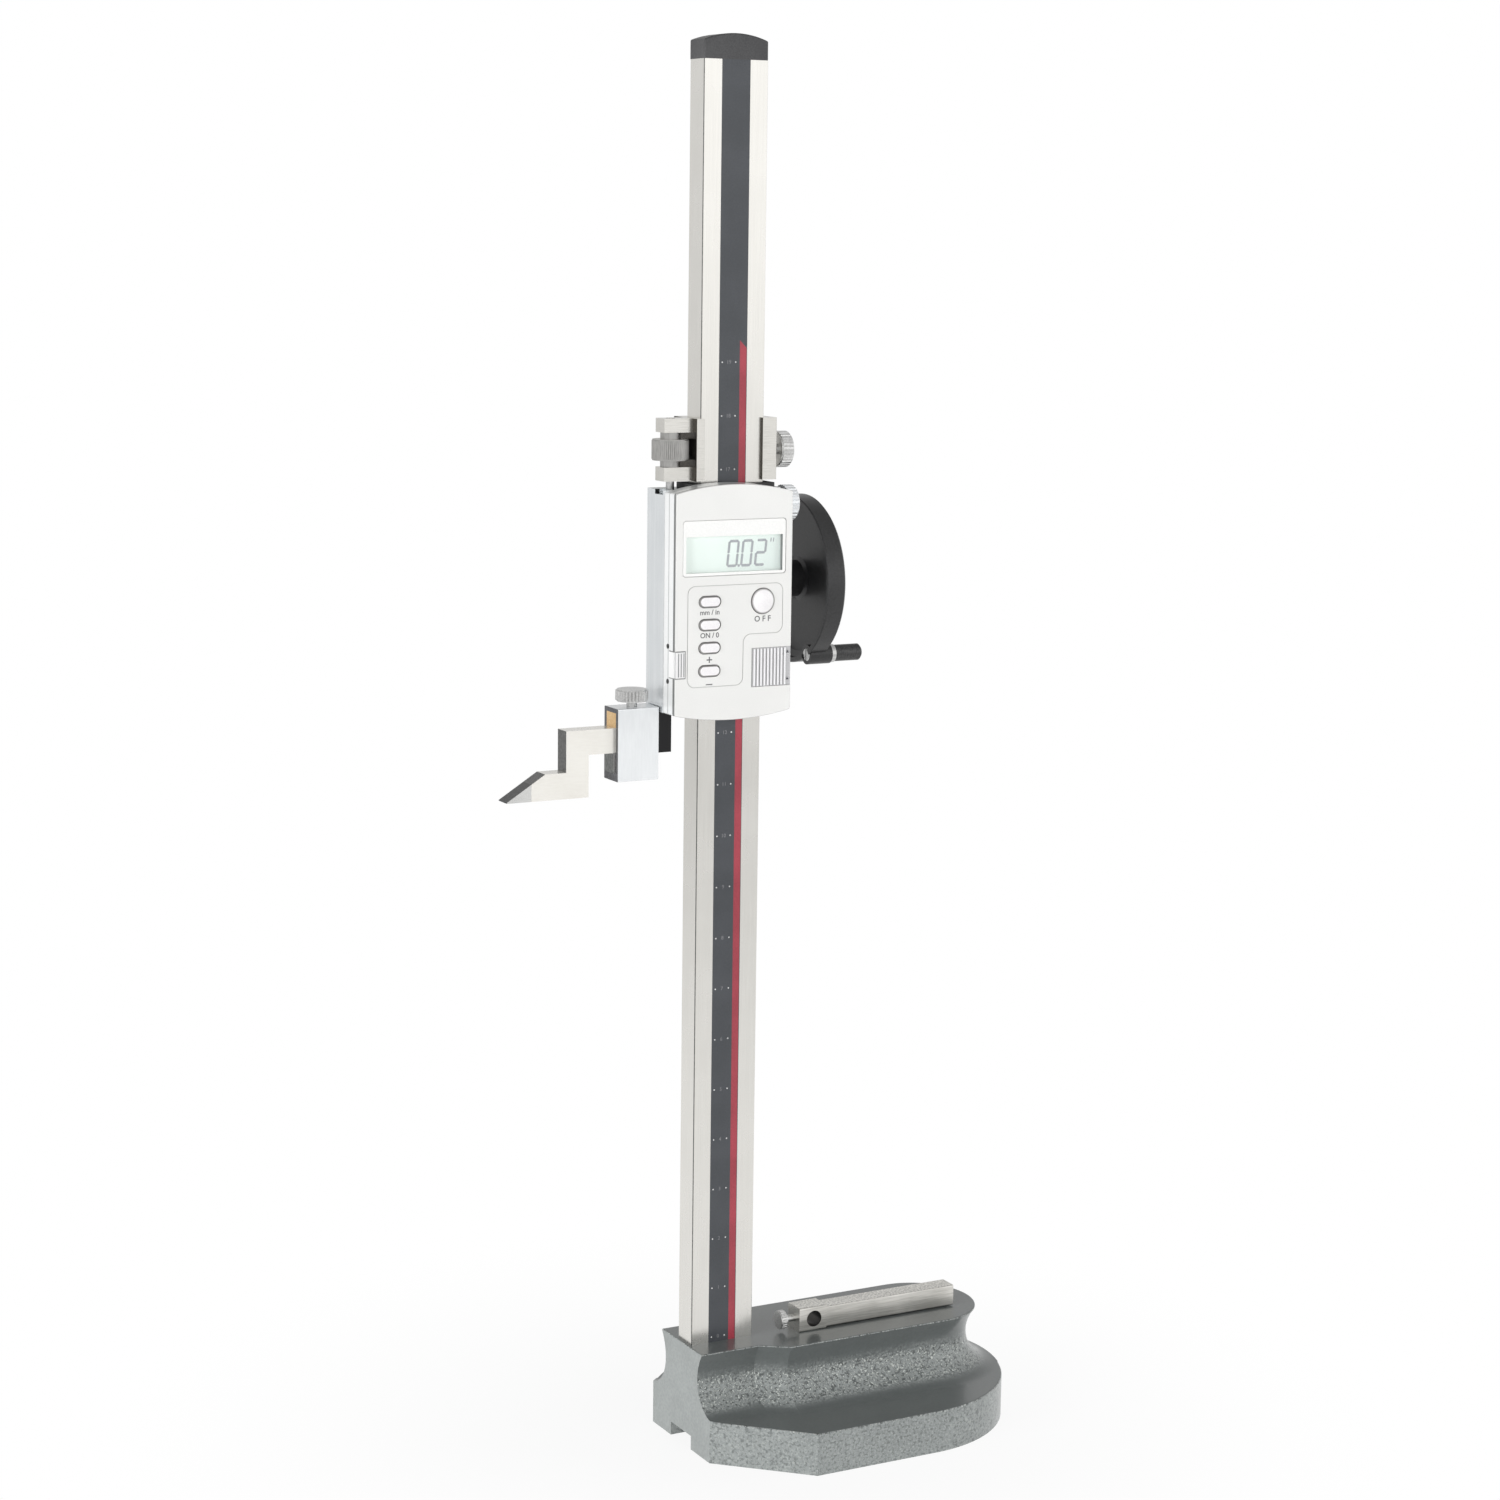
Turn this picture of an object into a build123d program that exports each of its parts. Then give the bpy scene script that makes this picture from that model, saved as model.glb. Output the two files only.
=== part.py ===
from build123d import *
import os
from math import acos, asin, cos, degrees, pi, radians, sin, tan

# Digital height gauge, 450 mm class: coved cast base, ground beam with a black scale tape, slider with
# a display housing, rack and pinion drive with a cranked handwheel, fine adjustment carriage, clamped
# scriber and a loose indicator holder lying on the base. All sizes in millimetres, +Z up, front is -Y.

os.makedirs("parts", exist_ok=True)

# clearances shared by the pieces
slide_gap = 0.1  # flat sliding faces
seat_gap = 0.02  # rigid pieces resting in a pocket
trim_gap = 0.15  # outline shown round the trim pieces of the panel
shaft_gap = 0.06  # round running fits
loose_gap = 0.3  # curved faces of different bodies

# base casting
base_height = 52.5
base_reach = 158.0  # beam axis to the round end
base_end = 18.8  # beam axis to the flat end
skirt_height = 21.5
skirt_half = 69.0
skirt_end_half = 31.2
flare_length = 40.0
waist_height = 38.5
neck_top_half = 22.3
neck_waist_half = 17.3
neck_length = 31.8
blend_length = 14.0  # from the neck out to the wide part
wide_top_half = 31.5
wide_waist_half = 26.3
top_reach = 148.5
skirt_round = 0.8
rim_round = 0.6
channel_width = 22.0
channel_height = 7.0
relief_depth = 1.5
relief_inset = 13.0

# beam and what it carries
beam_width = 34.0
beam_depth = 14.2
beam_length = 625.8
beam_chamfer = 0.5
tape_width = 15.0
tape_thickness = 0.4
stripe_width = 3.6
stripe_inset = 0.3
stripe_thickness = 0.15
stripe_top = 548.0
cap_height = 8.8
cap_dome = 3.2
cap_peg_radius = 2.5
cap_peg_length = 10.0
foot_screw_spacing = 18.0
foot_screw_radius = 3.0
foot_screw_length = 36.0

# rack and pinion
module = 1.5
pinion_teeth = 12
pressure_angle = 20.0
rack_width = 8.0
rack_groove = 1.5
rack_pitch_offset = 3.0  # beam back face to the pitch line
rack_foot = 19.0  # base top to the rack, at least
rack_end = 7.0  # rack to the beam top, at least
rack_addendum = 0.7  # in modules, kept short so that the small pinion isn't undercut
rack_backlash = 0.24
pinion_width = 9.0
shaft_radius = 4.0
bush_radius = 6.0
bush_length = 8.0
bearing_left = 14.0
bearing_right = 30.0
block_half = 13.0
rack_channel_depth = 4.6
cover_thickness = 2.0
cover_width = 22.0
wheel_screw_radius = 2.0
wheel_screw_length = 12.0

# slider
slider_bottom = 372.0
slider_height = 106.0
slider_left = 37.25  # beam axis to the left flank
slider_right = 25.15
front_wall = 3.0
slider_back = 8.5  # beam axis to the joint with the rear housing
gib_thickness = 2.0
rear_plate = 7.0
drive_height = 58.15  # slider bottom to the pinion axis
wiper_thickness = 2.4
wiper_width = 44.0
sensor_centre = 60.5
sensor_width = 26.0
sensor_height = 54.0
gib_screw_radius = 2.0
gib_screw_heights = (30.0, 72.0)
gib_end = 2.0
flank_notch_y = -4.2
flank_notch_width = 8.4
flank_notch_depth = 2.2
flank_notch_reach = 4.0
rear_screw_radius = 1.5
rear_head_height = 3.0
rear_screw_bite = 5.0

# display housing
housing_depth = 12.3
housing_wall = 1.8
panel_thickness = 1.6
panel_seam = 0.25
floor_thickness = 2.0
housing_corner = 1.2
panel_edge = 0.25
housing_screw_radius = 1.0
housing_screw_head = 1.2
housing_screw_bite = 2.4
side_screw_radius = 1.2
side_screw_y = -15.0
side_screw_spread = 8.4
side_screw_rise = 0.2
lip_depth = 1.2
lip_width = 0.7
housing_side_drop = 0.8  # arc ends inside the slider height
top_arc_rise = 4.0
bottom_arc_drop = 3.4
window_width = 55.4
window_height = 26.6
window_centre_x = -5.95
window_centre_z = 79.2
window_corner = 1.6
bezel_flange = 0.6
lens_thickness = 0.8
lcd_thickness = 2.2
board_thickness = 1.4
board_margin = 2.6
board_centre = 52.6
board_height = 96.0
lcd_width = 51.6
lcd_height = 17.2
lcd_centre_z = 76.1
oval_width = 11.4
oval_height = 5.4
oval_x = -19.0
oval_top_z = 53.8
oval_pitch = 11.0
oval_count = 4
power_x = 9.4
power_z = 53.0
power_radius = 6.1
power_dome = 1.5
key_rise = 0.8
key_round = 1.1
key_rim = 0.3
key_flange = 0.7
key_skirt = 1.0  # flange beyond the key's outline
mat_thickness = 0.9
mat_dome_radius = 2.0
mat_dome_height = 0.6
mat_centre = 42.0
mat_height = 46.0
groove_left = -30.9
groove_right = 20.4
groove_middle = -0.8
groove_low = 13.0
groove_high = 61.6
groove_step = 37.3
groove_radius = 4.0
groove_width = 0.35
groove_depth = 0.25
door_width = 21.4
door_height = 18.9
door_bottom = 11.7
door_ribs = 10
door_rib_depth = 0.6
tongue_thickness = 0.6
tongue_reach = 0.8
tongue_depth = 0.9
bay_centre = 14.0
bay_size = 15.0
bay_setback = 0.9
battery_radius = 5.8
battery_height = 5.4
battery_back = -14.3
contact_thickness = 0.3
port_width = 5.6
port_height = 13.3
port_bottom = 17.6
port_side_depth = 4.6

# handwheel and crank
wheel_radius = 41.5
wheel_inner = 45.6  # beam axis to the near edge of the rim
wheel_width = 9.8
rim_wall = 2.4
web_thickness = 2.6
hub_radius = 9.0
crank_radius = 40.3
crank_angle = 27.5
boss_radius = 4.9
boss_length = 12.2
grip_radius = 4.1
grip_length = 15.0
crank_pin_radius = 2.2
hub_reach = 6.0
rim_chamfer = 0.5
boss_setback = 1.0
crank_head_radius = 3.2
crank_head_depth = 2.0
collar_width = 2.3
grip_end_wall = 1.6
pin_button = 1.5

# fine adjustment
carriage_bottom = 481.7
carriage_height = 29.6
carriage_left = 20.0
carriage_right = 23.4
carriage_front = 9.0
arm_reach = 35.0
arm_depth = 10.0
arm_thickness = 6.6
carriage_lip = 1.4
carriage_knob_z = 495.5
fine_screw_short = 1.0
shoe_thickness = 1.5
knurl_margin = 0.6
knurl_depth = 0.7  # clamp knobs
knurl_count = 28
fine_knurl_depth = 0.3
fine_knurl_count = 56
fine_axis = 29.4
fine_screw_radius = 2.0
fine_screw_depth = 22.0
fine_nut_radius = 8.9
fine_nut_height = 10.0
fine_hub_radius = 4.8
knob_radius = 8.75
knob_width = 6.5
carriage_knob_x = 26.9
slider_knob_x = 30.4
slider_knob_drop = 8.5
knob_stem_radius = 2.5

# scriber and its clamp
scriber_reach = 115.9  # beam axis to the scriber's edge
jaw_arm_bottom = -28.5  # from the slider bottom
jaw_arm_height = 9.8
jaw_depth = 9.6
jaw_root_left = 37.6
jaw_root_right = 30.0
jaw_root_drop = 20.0
jaw_riser_left = 43.4
jaw_riser_right = 38.6
tenon_width = 5.0
tenon_depth = 7.2
tenon_height = 12.0
jaw_arm_reach = 60.6
clamp_roof = 2.2
clamp_head_gap = 2.6
bevel_length = 19.7
edge_land = 0.4
shank_height = 12.0
scriber_drop = 20.4  # arm top to the scriber's lower face
scriber_foot = 12.6
scriber_depth = 9.5
leg_left = 85.35
leg_right = 73.6
shank_right = 44.0
clamp_left = 59.6
clamp_right = 38.1
clamp_depth = 15.0
clamp_wall = 2.4
clamp_bottom = -32.5
clamp_height = 35.1
clamp_head_radius = 7.9
clamp_head_height = 5.8
clamp_stem_radius = 2.5
tip_length = 12.6

# loose indicator holder
holder_left = 40.2
head_length = 15.6
head_depth = 12.0
head_height = 12.4
bar_length = 75.5
bar_size = 10.6
holder_y = -8.6
stem_bore_radius = 4.0
holder_screw_radius = 4.8
holder_screw_width = 3.6
holder_stem_radius = 1.8
holder_neck = 5.6
holder_knurl_depth = 0.4
holder_knurls = 24
bar_lift = 0.6

# places worked out from the sizes above
beam_x = (scriber_reach - base_reach) / 2
beam_top = base_height + beam_length
slider_top = slider_bottom + slider_height
pitch = module * pi
pitch_radius = module * pinion_teeth / 2
rack_pitch_y = beam_depth / 2 + rack_pitch_offset
drive_y = rack_pitch_y + pitch_radius
drive_z = slider_bottom + drive_height
housing_back = -(beam_depth / 2 + front_wall + slide_gap)
panel_front = housing_back - housing_depth
panel_back = panel_front + panel_thickness
housing_bottom = slider_bottom
housing_side = slider_height - housing_side_drop
housing_width = slider_left + slider_right
housing_x = beam_x + (slider_right - slider_left) / 2
rear_back = slider_back + rear_plate
gib_wall = beam_width / 2 + 2 * slide_gap + gib_thickness


def save(builder, name):
    builder.part.label = name
    export_step(builder.part, f"parts/{name}.step")


def front_plane(y):
    """Plane facing the reader at depth y: its x runs along X and its y along Z."""
    return Plane(origin=(0, y, 0), x_dir=(1, 0, 0), z_dir=(0, -1, 0))


def side_plane(x):
    """Plane across X at x: its x runs along Y and its y along Z."""
    return Plane(origin=(x, 0, 0), x_dir=(0, 1, 0), z_dir=(1, 0, 0))


# base
arc_centre = beam_x + base_reach - skirt_half
blend_start = beam_x - base_end + neck_length
wide_start = blend_start + blend_length
wide_centre = beam_x + top_reach - wide_top_half


def skirt_outline():
    """Plan of the skirt: flat end, flared shoulders, straight flanks and a round end."""
    end_x = beam_x - base_end
    shoulder_x = end_x + flare_length
    with BuildSketch() as outline:
        with BuildLine():
            Polyline(
                (arc_centre, skirt_half),
                (shoulder_x, skirt_half),
                (end_x, skirt_end_half),
                (end_x, -skirt_end_half),
                (shoulder_x, -skirt_half),
                (arc_centre, -skirt_half),
            )
            ThreePointArc(
                (arc_centre, -skirt_half), (arc_centre + skirt_half, 0), (arc_centre, skirt_half)
            )
        make_face()
    return outline.sketch


def cove_profile(top_half, waist_half):
    """Half section of the column: a round cove from the skirt in to the waist and out to the top."""
    rise = base_height - waist_height
    inset = top_half - waist_half
    upper_radius = (inset**2 + rise**2) / (2 * inset)
    foot_radius = waist_height - skirt_height
    with BuildSketch() as profile:
        with BuildLine():
            lower = JernArc((waist_half, waist_height), (0, -1), foot_radius, 90)
            upper_turn = -degrees(asin(rise / upper_radius))
            upper = JernArc((waist_half, waist_height), (0, 1), upper_radius, upper_turn)
            Polyline(lower @ 1, (waist_half + foot_radius, 0), (0, 0), (0, base_height), upper @ 1)
        make_face()
    return profile.sketch


def column_section(top_half, waist_half):
    """Whole cross section of the column, the half section and its mirror image."""
    with BuildSketch() as section:
        add(cove_profile(top_half, waist_half))
        mirror(about=Plane.YZ)
    return section.sketch


with BuildPart() as base_casting:
    with BuildSketch():
        add(skirt_outline())
    extrude(amount=skirt_height)
    fillet(base_casting.faces().sort_by(Axis.Z)[-1].edges(), skirt_round)
    with BuildSketch(side_plane(beam_x - base_end)):
        add(column_section(neck_top_half, neck_waist_half))
    extrude(amount=neck_length)
    with BuildSketch(side_plane(blend_start)):
        add(column_section(neck_top_half, neck_waist_half))
    with BuildSketch(side_plane(wide_start)):
        add(column_section(wide_top_half, wide_waist_half))
    loft()
    with BuildSketch(side_plane(wide_start)):
        add(column_section(wide_top_half, wide_waist_half))
    extrude(amount=wide_centre - wide_start)
    with BuildSketch(Plane(origin=(wide_centre, 0, 0), x_dir=(1, 0, 0), z_dir=(0, -1, 0))):
        add(cove_profile(wide_top_half, wide_waist_half))
    revolve(axis=Axis((wide_centre, 0, 0), (0, 0, 1)))
    with BuildSketch():
        add(skirt_outline())
    extrude(amount=base_height, mode=Mode.INTERSECT)
    fillet(base_casting.faces().sort_by(Axis.Z)[-1].outer_wire().edges(), rim_round)
    with BuildSketch():
        with Locations((beam_x + (top_reach - base_end) / 2 - wide_top_half, 0)):
            SlotOverall(top_reach + base_end, channel_width)
        with Locations((beam_x - base_end, 0)):
            Rectangle(2 * neck_length, channel_width)
    extrude(amount=channel_height, mode=Mode.SUBTRACT)
    with BuildSketch():
        add(skirt_outline())
        offset(amount=-relief_inset)
    extrude(amount=relief_depth, mode=Mode.SUBTRACT)
    with Locations(Location((beam_x, 0, channel_height), (180, 0, 0))):
        with GridLocations(foot_screw_spacing, 1, 2, 1):
            CounterBoreHole(
                foot_screw_radius + loose_gap,
                foot_screw_radius * 1.8,
                base_height - channel_height - foot_screw_length / 2,
                base_height,
            )
save(base_casting, "base_casting")

# beam
foot_head_height = foot_screw_radius * 2
foot_head_top = base_height - foot_screw_length / 2

with BuildPart() as beam:
    with BuildSketch(Plane.XY.offset(base_height)) as beam_section:
        with Locations((beam_x, 0)):
            RectangleRounded(beam_width, beam_depth, beam_chamfer)
        with Locations((beam_x, -beam_depth / 2)):
            Rectangle(tape_width, 2 * tape_thickness, mode=Mode.SUBTRACT)
        with Locations((beam_x, beam_depth / 2)):
            Rectangle(rack_width + 2 * seat_gap, 2 * rack_groove, mode=Mode.SUBTRACT)
    extrude(amount=beam_length)
    with Locations(Location((beam_x, 0, base_height), (180, 0, 0))):
        with GridLocations(foot_screw_spacing, 1, 2, 1):
            Hole(foot_screw_radius + seat_gap, foot_screw_length / 2 + 2)
    with Locations((beam_x, 0, beam_top)):
        with GridLocations(foot_screw_spacing, 1, 2, 1):
            Hole(cap_peg_radius + seat_gap, cap_peg_length + 1)
save(beam, "beam")

# scale tape, stripe, cap, foot screws
beam_front = -beam_depth / 2
beam_back = beam_depth / 2
stripe_right = beam_x + tape_width / 2 - stripe_inset
stripe_left = stripe_right - stripe_width


def stripe_outline():
    """Narrow band beside the scale, cut to a slant at its top."""
    with BuildSketch() as outline:
        with BuildLine():
            Polyline(
                (stripe_left, base_height),
                (stripe_right, base_height),
                (stripe_right, stripe_top - stripe_width),
                (stripe_left, stripe_top),
                close=True,
            )
        make_face()
    return outline.sketch


with BuildPart() as scale_tape:
    with BuildSketch(front_plane(beam_front + tape_thickness)):
        with Locations((beam_x, base_height + beam_length / 2)):
            Rectangle(tape_width - 2 * seat_gap, beam_length)
    extrude(amount=tape_thickness)
    with BuildSketch(front_plane(beam_front + stripe_thickness)):
        add(stripe_outline())
    extrude(amount=stripe_thickness, mode=Mode.SUBTRACT)
save(scale_tape, "scale_tape")

with BuildPart() as red_stripe:
    with BuildSketch(front_plane(beam_front + stripe_thickness)):
        add(stripe_outline())
    extrude(amount=stripe_thickness)
save(red_stripe, "red_stripe")

with BuildPart() as top_cap:
    with BuildSketch(front_plane(beam_back)):
        with BuildLine():
            Polyline(
                (beam_x - beam_width / 2, beam_top + cap_height),
                (beam_x - beam_width / 2, beam_top),
                (beam_x + beam_width / 2, beam_top),
                (beam_x + beam_width / 2, beam_top + cap_height),
            )
            ThreePointArc(
                (beam_x + beam_width / 2, beam_top + cap_height),
                (beam_x, beam_top + cap_height + cap_dome),
                (beam_x - beam_width / 2, beam_top + cap_height),
            )
        make_face()
    extrude(amount=beam_depth)
    fillet(top_cap.edges().filter_by(Axis.Y).group_by(Axis.Z)[-1], 1.0)
    chamfer(top_cap.faces().sort_by(Axis.Y)[0].edges().group_by(Axis.Z)[-1], 0.6)
    with BuildSketch(Plane.XY.offset(beam_top)):
        with Locations((beam_x, 0)):
            with GridLocations(foot_screw_spacing, 1, 2, 1):
                Circle(cap_peg_radius)
    extrude(amount=-cap_peg_length)
save(top_cap, "top_cap")

with BuildPart() as foot_screws:
    with BuildSketch(Plane.XY.offset(base_height + foot_screw_length / 2)):
        with Locations((beam_x, 0)):
            with GridLocations(foot_screw_spacing, 1, 2, 1):
                Circle(foot_screw_radius)
    extrude(amount=-foot_screw_length)
    with BuildSketch(Plane.XY.offset(foot_head_top)):
        with Locations((beam_x, 0)):
            with GridLocations(foot_screw_spacing, 1, 2, 1):
                Circle(foot_screw_radius * 1.67)
    extrude(amount=-foot_head_height)
    with BuildSketch(Plane.XY.offset(foot_head_top - foot_head_height)):
        with Locations((beam_x, 0)):
            with GridLocations(foot_screw_spacing, 1, 2, 1):
                RegularPolygon(foot_screw_radius * 0.95, 6)
    extrude(amount=foot_head_height / 2, mode=Mode.SUBTRACT)
save(foot_screws, "foot_screws")

# rack and pinion
tooth_tip_height = rack_addendum * module
tooth_root_depth = 1.25 * module
flank = tan(radians(pressure_angle))
rack_half_tooth = pitch / 4 - rack_backlash / 4


def rack_tooth(centre):
    """Four corners of one straight-sided rack tooth, from its lower root to its upper root."""
    half_tip = rack_half_tooth - tooth_tip_height * flank
    half_root = rack_half_tooth + tooth_root_depth * flank
    root_y = rack_pitch_y - tooth_root_depth
    tip_y = rack_pitch_y + tooth_tip_height
    return [
        (root_y, centre - half_root),
        (tip_y, centre - half_tip),
        (tip_y, centre + half_tip),
        (root_y, centre + half_root),
    ]


def involute(angle):
    return tan(angle) - angle


def pinion_tooth(centre_angle):
    """Corners of one involute pinion tooth about its centre line, root to root."""
    base_radius = pitch_radius * cos(radians(pressure_angle))
    half_pitch_angle = rack_half_tooth / pitch_radius + involute(radians(pressure_angle))
    root_radius = pitch_radius - tooth_root_depth
    flank_radii = [base_radius, (base_radius + pitch_radius) / 2, pitch_radius, pitch_radius + module]
    turns = [half_pitch_angle] + [
        half_pitch_angle - involute(acos(base_radius / radius)) for radius in flank_radii
    ]
    radii = [root_radius] + flank_radii
    lower = [(r * cos(centre_angle - t), r * sin(centre_angle - t)) for r, t in zip(radii, turns)]
    upper = [(r * cos(centre_angle + t), r * sin(centre_angle + t)) for r, t in zip(radii, turns)]
    return lower + upper[::-1]


teeth_below = int((drive_z - base_height - rack_foot) / pitch)
teeth_above = int((beam_top - rack_end - drive_z) / pitch)
rack_bottom = drive_z - teeth_below * pitch
rack_top = drive_z + teeth_above * pitch
rack_seat_y = beam_back - rack_groove
rack_outline = [(rack_seat_y, rack_bottom), (rack_pitch_y - tooth_root_depth, rack_bottom)]
for tooth in range(teeth_below + teeth_above):
    rack_outline += rack_tooth(rack_bottom + (tooth + 0.5) * pitch)
rack_outline += [(rack_pitch_y - tooth_root_depth, rack_top), (rack_seat_y, rack_top)]

with BuildPart() as rack:
    with BuildSketch(side_plane(beam_x - rack_width / 2)):
        with BuildLine():
            Polyline(*rack_outline, close=True)
        make_face()
    extrude(amount=rack_width)
save(rack, "rack")

drive_plane = Plane(origin=(beam_x, drive_y, drive_z), x_dir=(0, 1, 0), z_dir=(1, 0, 0))

with BuildPart() as drive_pinion:
    with BuildSketch(drive_plane.offset(-pinion_width / 2)):
        with BuildLine():
            pinion_outline = []
            for tooth in range(pinion_teeth):
                pinion_outline += pinion_tooth(2 * pi * tooth / pinion_teeth)
            Polyline(*pinion_outline, close=True)
        make_face()
        Circle(shaft_radius + seat_gap, mode=Mode.SUBTRACT)
    extrude(amount=pinion_width)
save(drive_pinion, "drive_pinion")

shaft_left = -bearing_left
shaft_right = wheel_inner + wheel_width - web_thickness
with BuildPart() as pinion_shaft:
    with BuildSketch(drive_plane.offset(shaft_left)):
        Circle(shaft_radius)
    extrude(amount=shaft_right - shaft_left)
    chamfer(pinion_shaft.edges(), 0.4)
    with Locations(drive_plane.offset(shaft_right)):
        Hole(wheel_screw_radius + seat_gap, wheel_screw_length)
save(pinion_shaft, "pinion_shaft")

for name, bush_start in (("bush_left", shaft_left), ("bush_right", bearing_right - bush_length)):
    with BuildPart() as bush:
        with BuildSketch(drive_plane.offset(bush_start)):
            Circle(bush_radius)
            Circle(shaft_radius + shaft_gap, mode=Mode.SUBTRACT)
        extrude(amount=bush_length)
    save(bush, name)

# slider
slot_left = beam_width / 2 + slide_gap
slot_front = beam_front - slide_gap
flank_centre_y = (slider_back + housing_back) / 2
slider_knob_z = slider_top - slider_knob_drop
tenon_x = beam_x - (jaw_root_left + jaw_root_right) / 2
sensor_z = slider_bottom + sensor_centre
housing_left = beam_x - slider_left
housing_right = beam_x + slider_right
side_top = housing_bottom + housing_side
rear_screw_places = [
    (beam_x - slider_left + 9.5, slider_bottom + 12),
    (beam_x - slider_left + 9.5, slider_top - 12),
    (beam_x + (slider_right + gib_wall) / 2, slider_bottom + 12),
    (beam_x + (slider_right + gib_wall) / 2, slider_top - 12),
]
housing_screw_places = [
    (housing_left + 6.5, housing_bottom + 9),
    (housing_left + 6.5, side_top - 9),
    (housing_right - 3.9, housing_bottom + 6),
    (housing_right - 3.9, side_top - 9),
]
right_flank = Plane(origin=(beam_x + slider_right, 0, 0), x_dir=(0, 1, 0), z_dir=(1, 0, 0))

with BuildPart() as slider_frame:
    with BuildSketch(Plane.XY.offset(slider_bottom)):
        with Locations((housing_x, flank_centre_y)):
            RectangleRounded(housing_width, slider_back - housing_back, 0.6)
        with Locations((beam_x + (gib_wall - slot_left) / 2, slot_front + beam_depth)):
            Rectangle(gib_wall + slot_left, 2 * beam_depth, mode=Mode.SUBTRACT)
    extrude(amount=slider_height)
    with BuildSketch(front_plane(slot_front + 1)):
        with Locations((beam_x, sensor_z)):
            Rectangle(sensor_width + 2 * seat_gap, sensor_height + 2 * seat_gap)
    extrude(amount=front_wall + 2, mode=Mode.SUBTRACT)
    with Locations((beam_x - fine_axis, 0, slider_top)):
        Hole(fine_screw_radius + seat_gap, fine_screw_depth)
    with Locations(right_flank.location * Location((0, slider_knob_z, 0))):
        Hole(knob_stem_radius + shaft_gap, slider_right - gib_wall + 1)
    with Locations(*[right_flank.location * Location((0, slider_bottom + z, 0)) for z in gib_screw_heights]):
        Hole(gib_screw_radius + seat_gap, slider_right - gib_wall + 1)
    with BuildSketch(Plane.XY.offset(slider_bottom)):
        with Locations((tenon_x, 0)):
            Rectangle(tenon_width + 2 * seat_gap, tenon_depth + 2 * seat_gap)
    extrude(amount=tenon_height + 0.5, mode=Mode.SUBTRACT)
    with BuildSketch(side_plane(housing_left)):
        with Locations((flank_notch_y, slider_top)):
            Rectangle(flank_notch_width, 2 * flank_notch_depth)
    extrude(amount=flank_notch_reach, mode=Mode.SUBTRACT)
    with BuildSketch(front_plane(slider_back)):
        with Locations(*rear_screw_places):
            Circle(rear_screw_radius + seat_gap)
    extrude(amount=rear_screw_bite, mode=Mode.SUBTRACT)
    with BuildSketch(front_plane(housing_back)):
        with Locations(*housing_screw_places):
            Circle(housing_screw_radius + seat_gap)
    extrude(amount=-(housing_screw_bite + 1), mode=Mode.SUBTRACT)
save(slider_frame, "slider_frame")

with BuildPart() as gib_strip:
    with BuildSketch(Plane.XY.offset(slider_bottom + gib_end)):
        with Locations((beam_x + beam_width / 2 + slide_gap + gib_thickness / 2, 0)):
            Rectangle(gib_thickness, beam_depth - 2)
    extrude(amount=slider_height - 2 * gib_end)
save(gib_strip, "gib_strip")

gib_screw_tip = beam_width / 2 + slide_gap + gib_thickness + seat_gap
with BuildPart() as gib_screws:
    with BuildSketch(side_plane(beam_x + gib_screw_tip)):
        with Locations(*[(0, slider_bottom + z) for z in gib_screw_heights]):
            Circle(gib_screw_radius)
    extrude(amount=slider_right - gib_screw_tip)
    with BuildSketch(side_plane(beam_x + slider_right)):
        with Locations(*[(0, slider_bottom + z) for z in gib_screw_heights]):
            Rectangle(0.6, 2 * gib_screw_radius)
    extrude(amount=-1, mode=Mode.SUBTRACT)
save(gib_screws, "gib_screws")

# rear housing: plate behind the beam with the bearing block for the pinion shaft
plate_left = slider_left - 4
plate_centre_x = beam_x + (slider_right - plate_left) / 2
plate_bottom = slider_bottom + 3
plate_height = slider_height - 6
block_back = drive_y + block_half
rack_channel_half = rack_width / 2 + 0.8

with BuildPart() as rear_housing:
    with BuildSketch(Plane.XY.offset(plate_bottom)):
        with Locations((plate_centre_x, slider_back + rear_plate / 2)):
            RectangleRounded(slider_right + plate_left, rear_plate, 1)
        with Locations((beam_x + (gib_wall - slot_left) / 2, (beam_back + slide_gap + slider_back) / 2)):
            Rectangle(gib_wall + slot_left - 2 * seat_gap, slider_back - beam_back - slide_gap + 0.001)
    extrude(amount=plate_height)
    with BuildSketch(drive_plane.offset(-bearing_left)):
        with Locations(((slider_back - drive_y + block_half) / 2, 0)):
            RectangleRounded(block_back - slider_back, 2 * block_half, 3)
    extrude(amount=bearing_left + bearing_right)
    with BuildSketch(Plane.XY.offset(plate_bottom)):
        with Locations((beam_x, beam_back + rack_channel_depth / 2)):
            Rectangle(2 * rack_channel_half, rack_channel_depth)
    extrude(amount=plate_height, mode=Mode.SUBTRACT)
    with BuildSketch(drive_plane.offset(-pinion_width / 2 - 0.6)):
        with Locations(((block_back - drive_y) / 2 - 3, 0)):
            Rectangle(block_back - drive_y + 14, 2 * (pitch_radius + module + 0.8))
    extrude(amount=pinion_width + 1.2, mode=Mode.SUBTRACT)
    with BuildSketch(drive_plane.offset(-bearing_left)):
        Circle(bush_radius + seat_gap)
    extrude(amount=bearing_left + bearing_right, mode=Mode.SUBTRACT)
    rear_screw_plane = Plane(origin=(0, rear_back, 0), x_dir=(-1, 0, 0), z_dir=(0, 1, 0))
    with Locations(*[rear_screw_plane.location * Location((-x, z, 0)) for x, z in rear_screw_places]):
        CounterBoreHole(rear_screw_radius + seat_gap, 1.9 * rear_screw_radius, rear_head_height)
save(rear_housing, "rear_housing")

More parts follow.
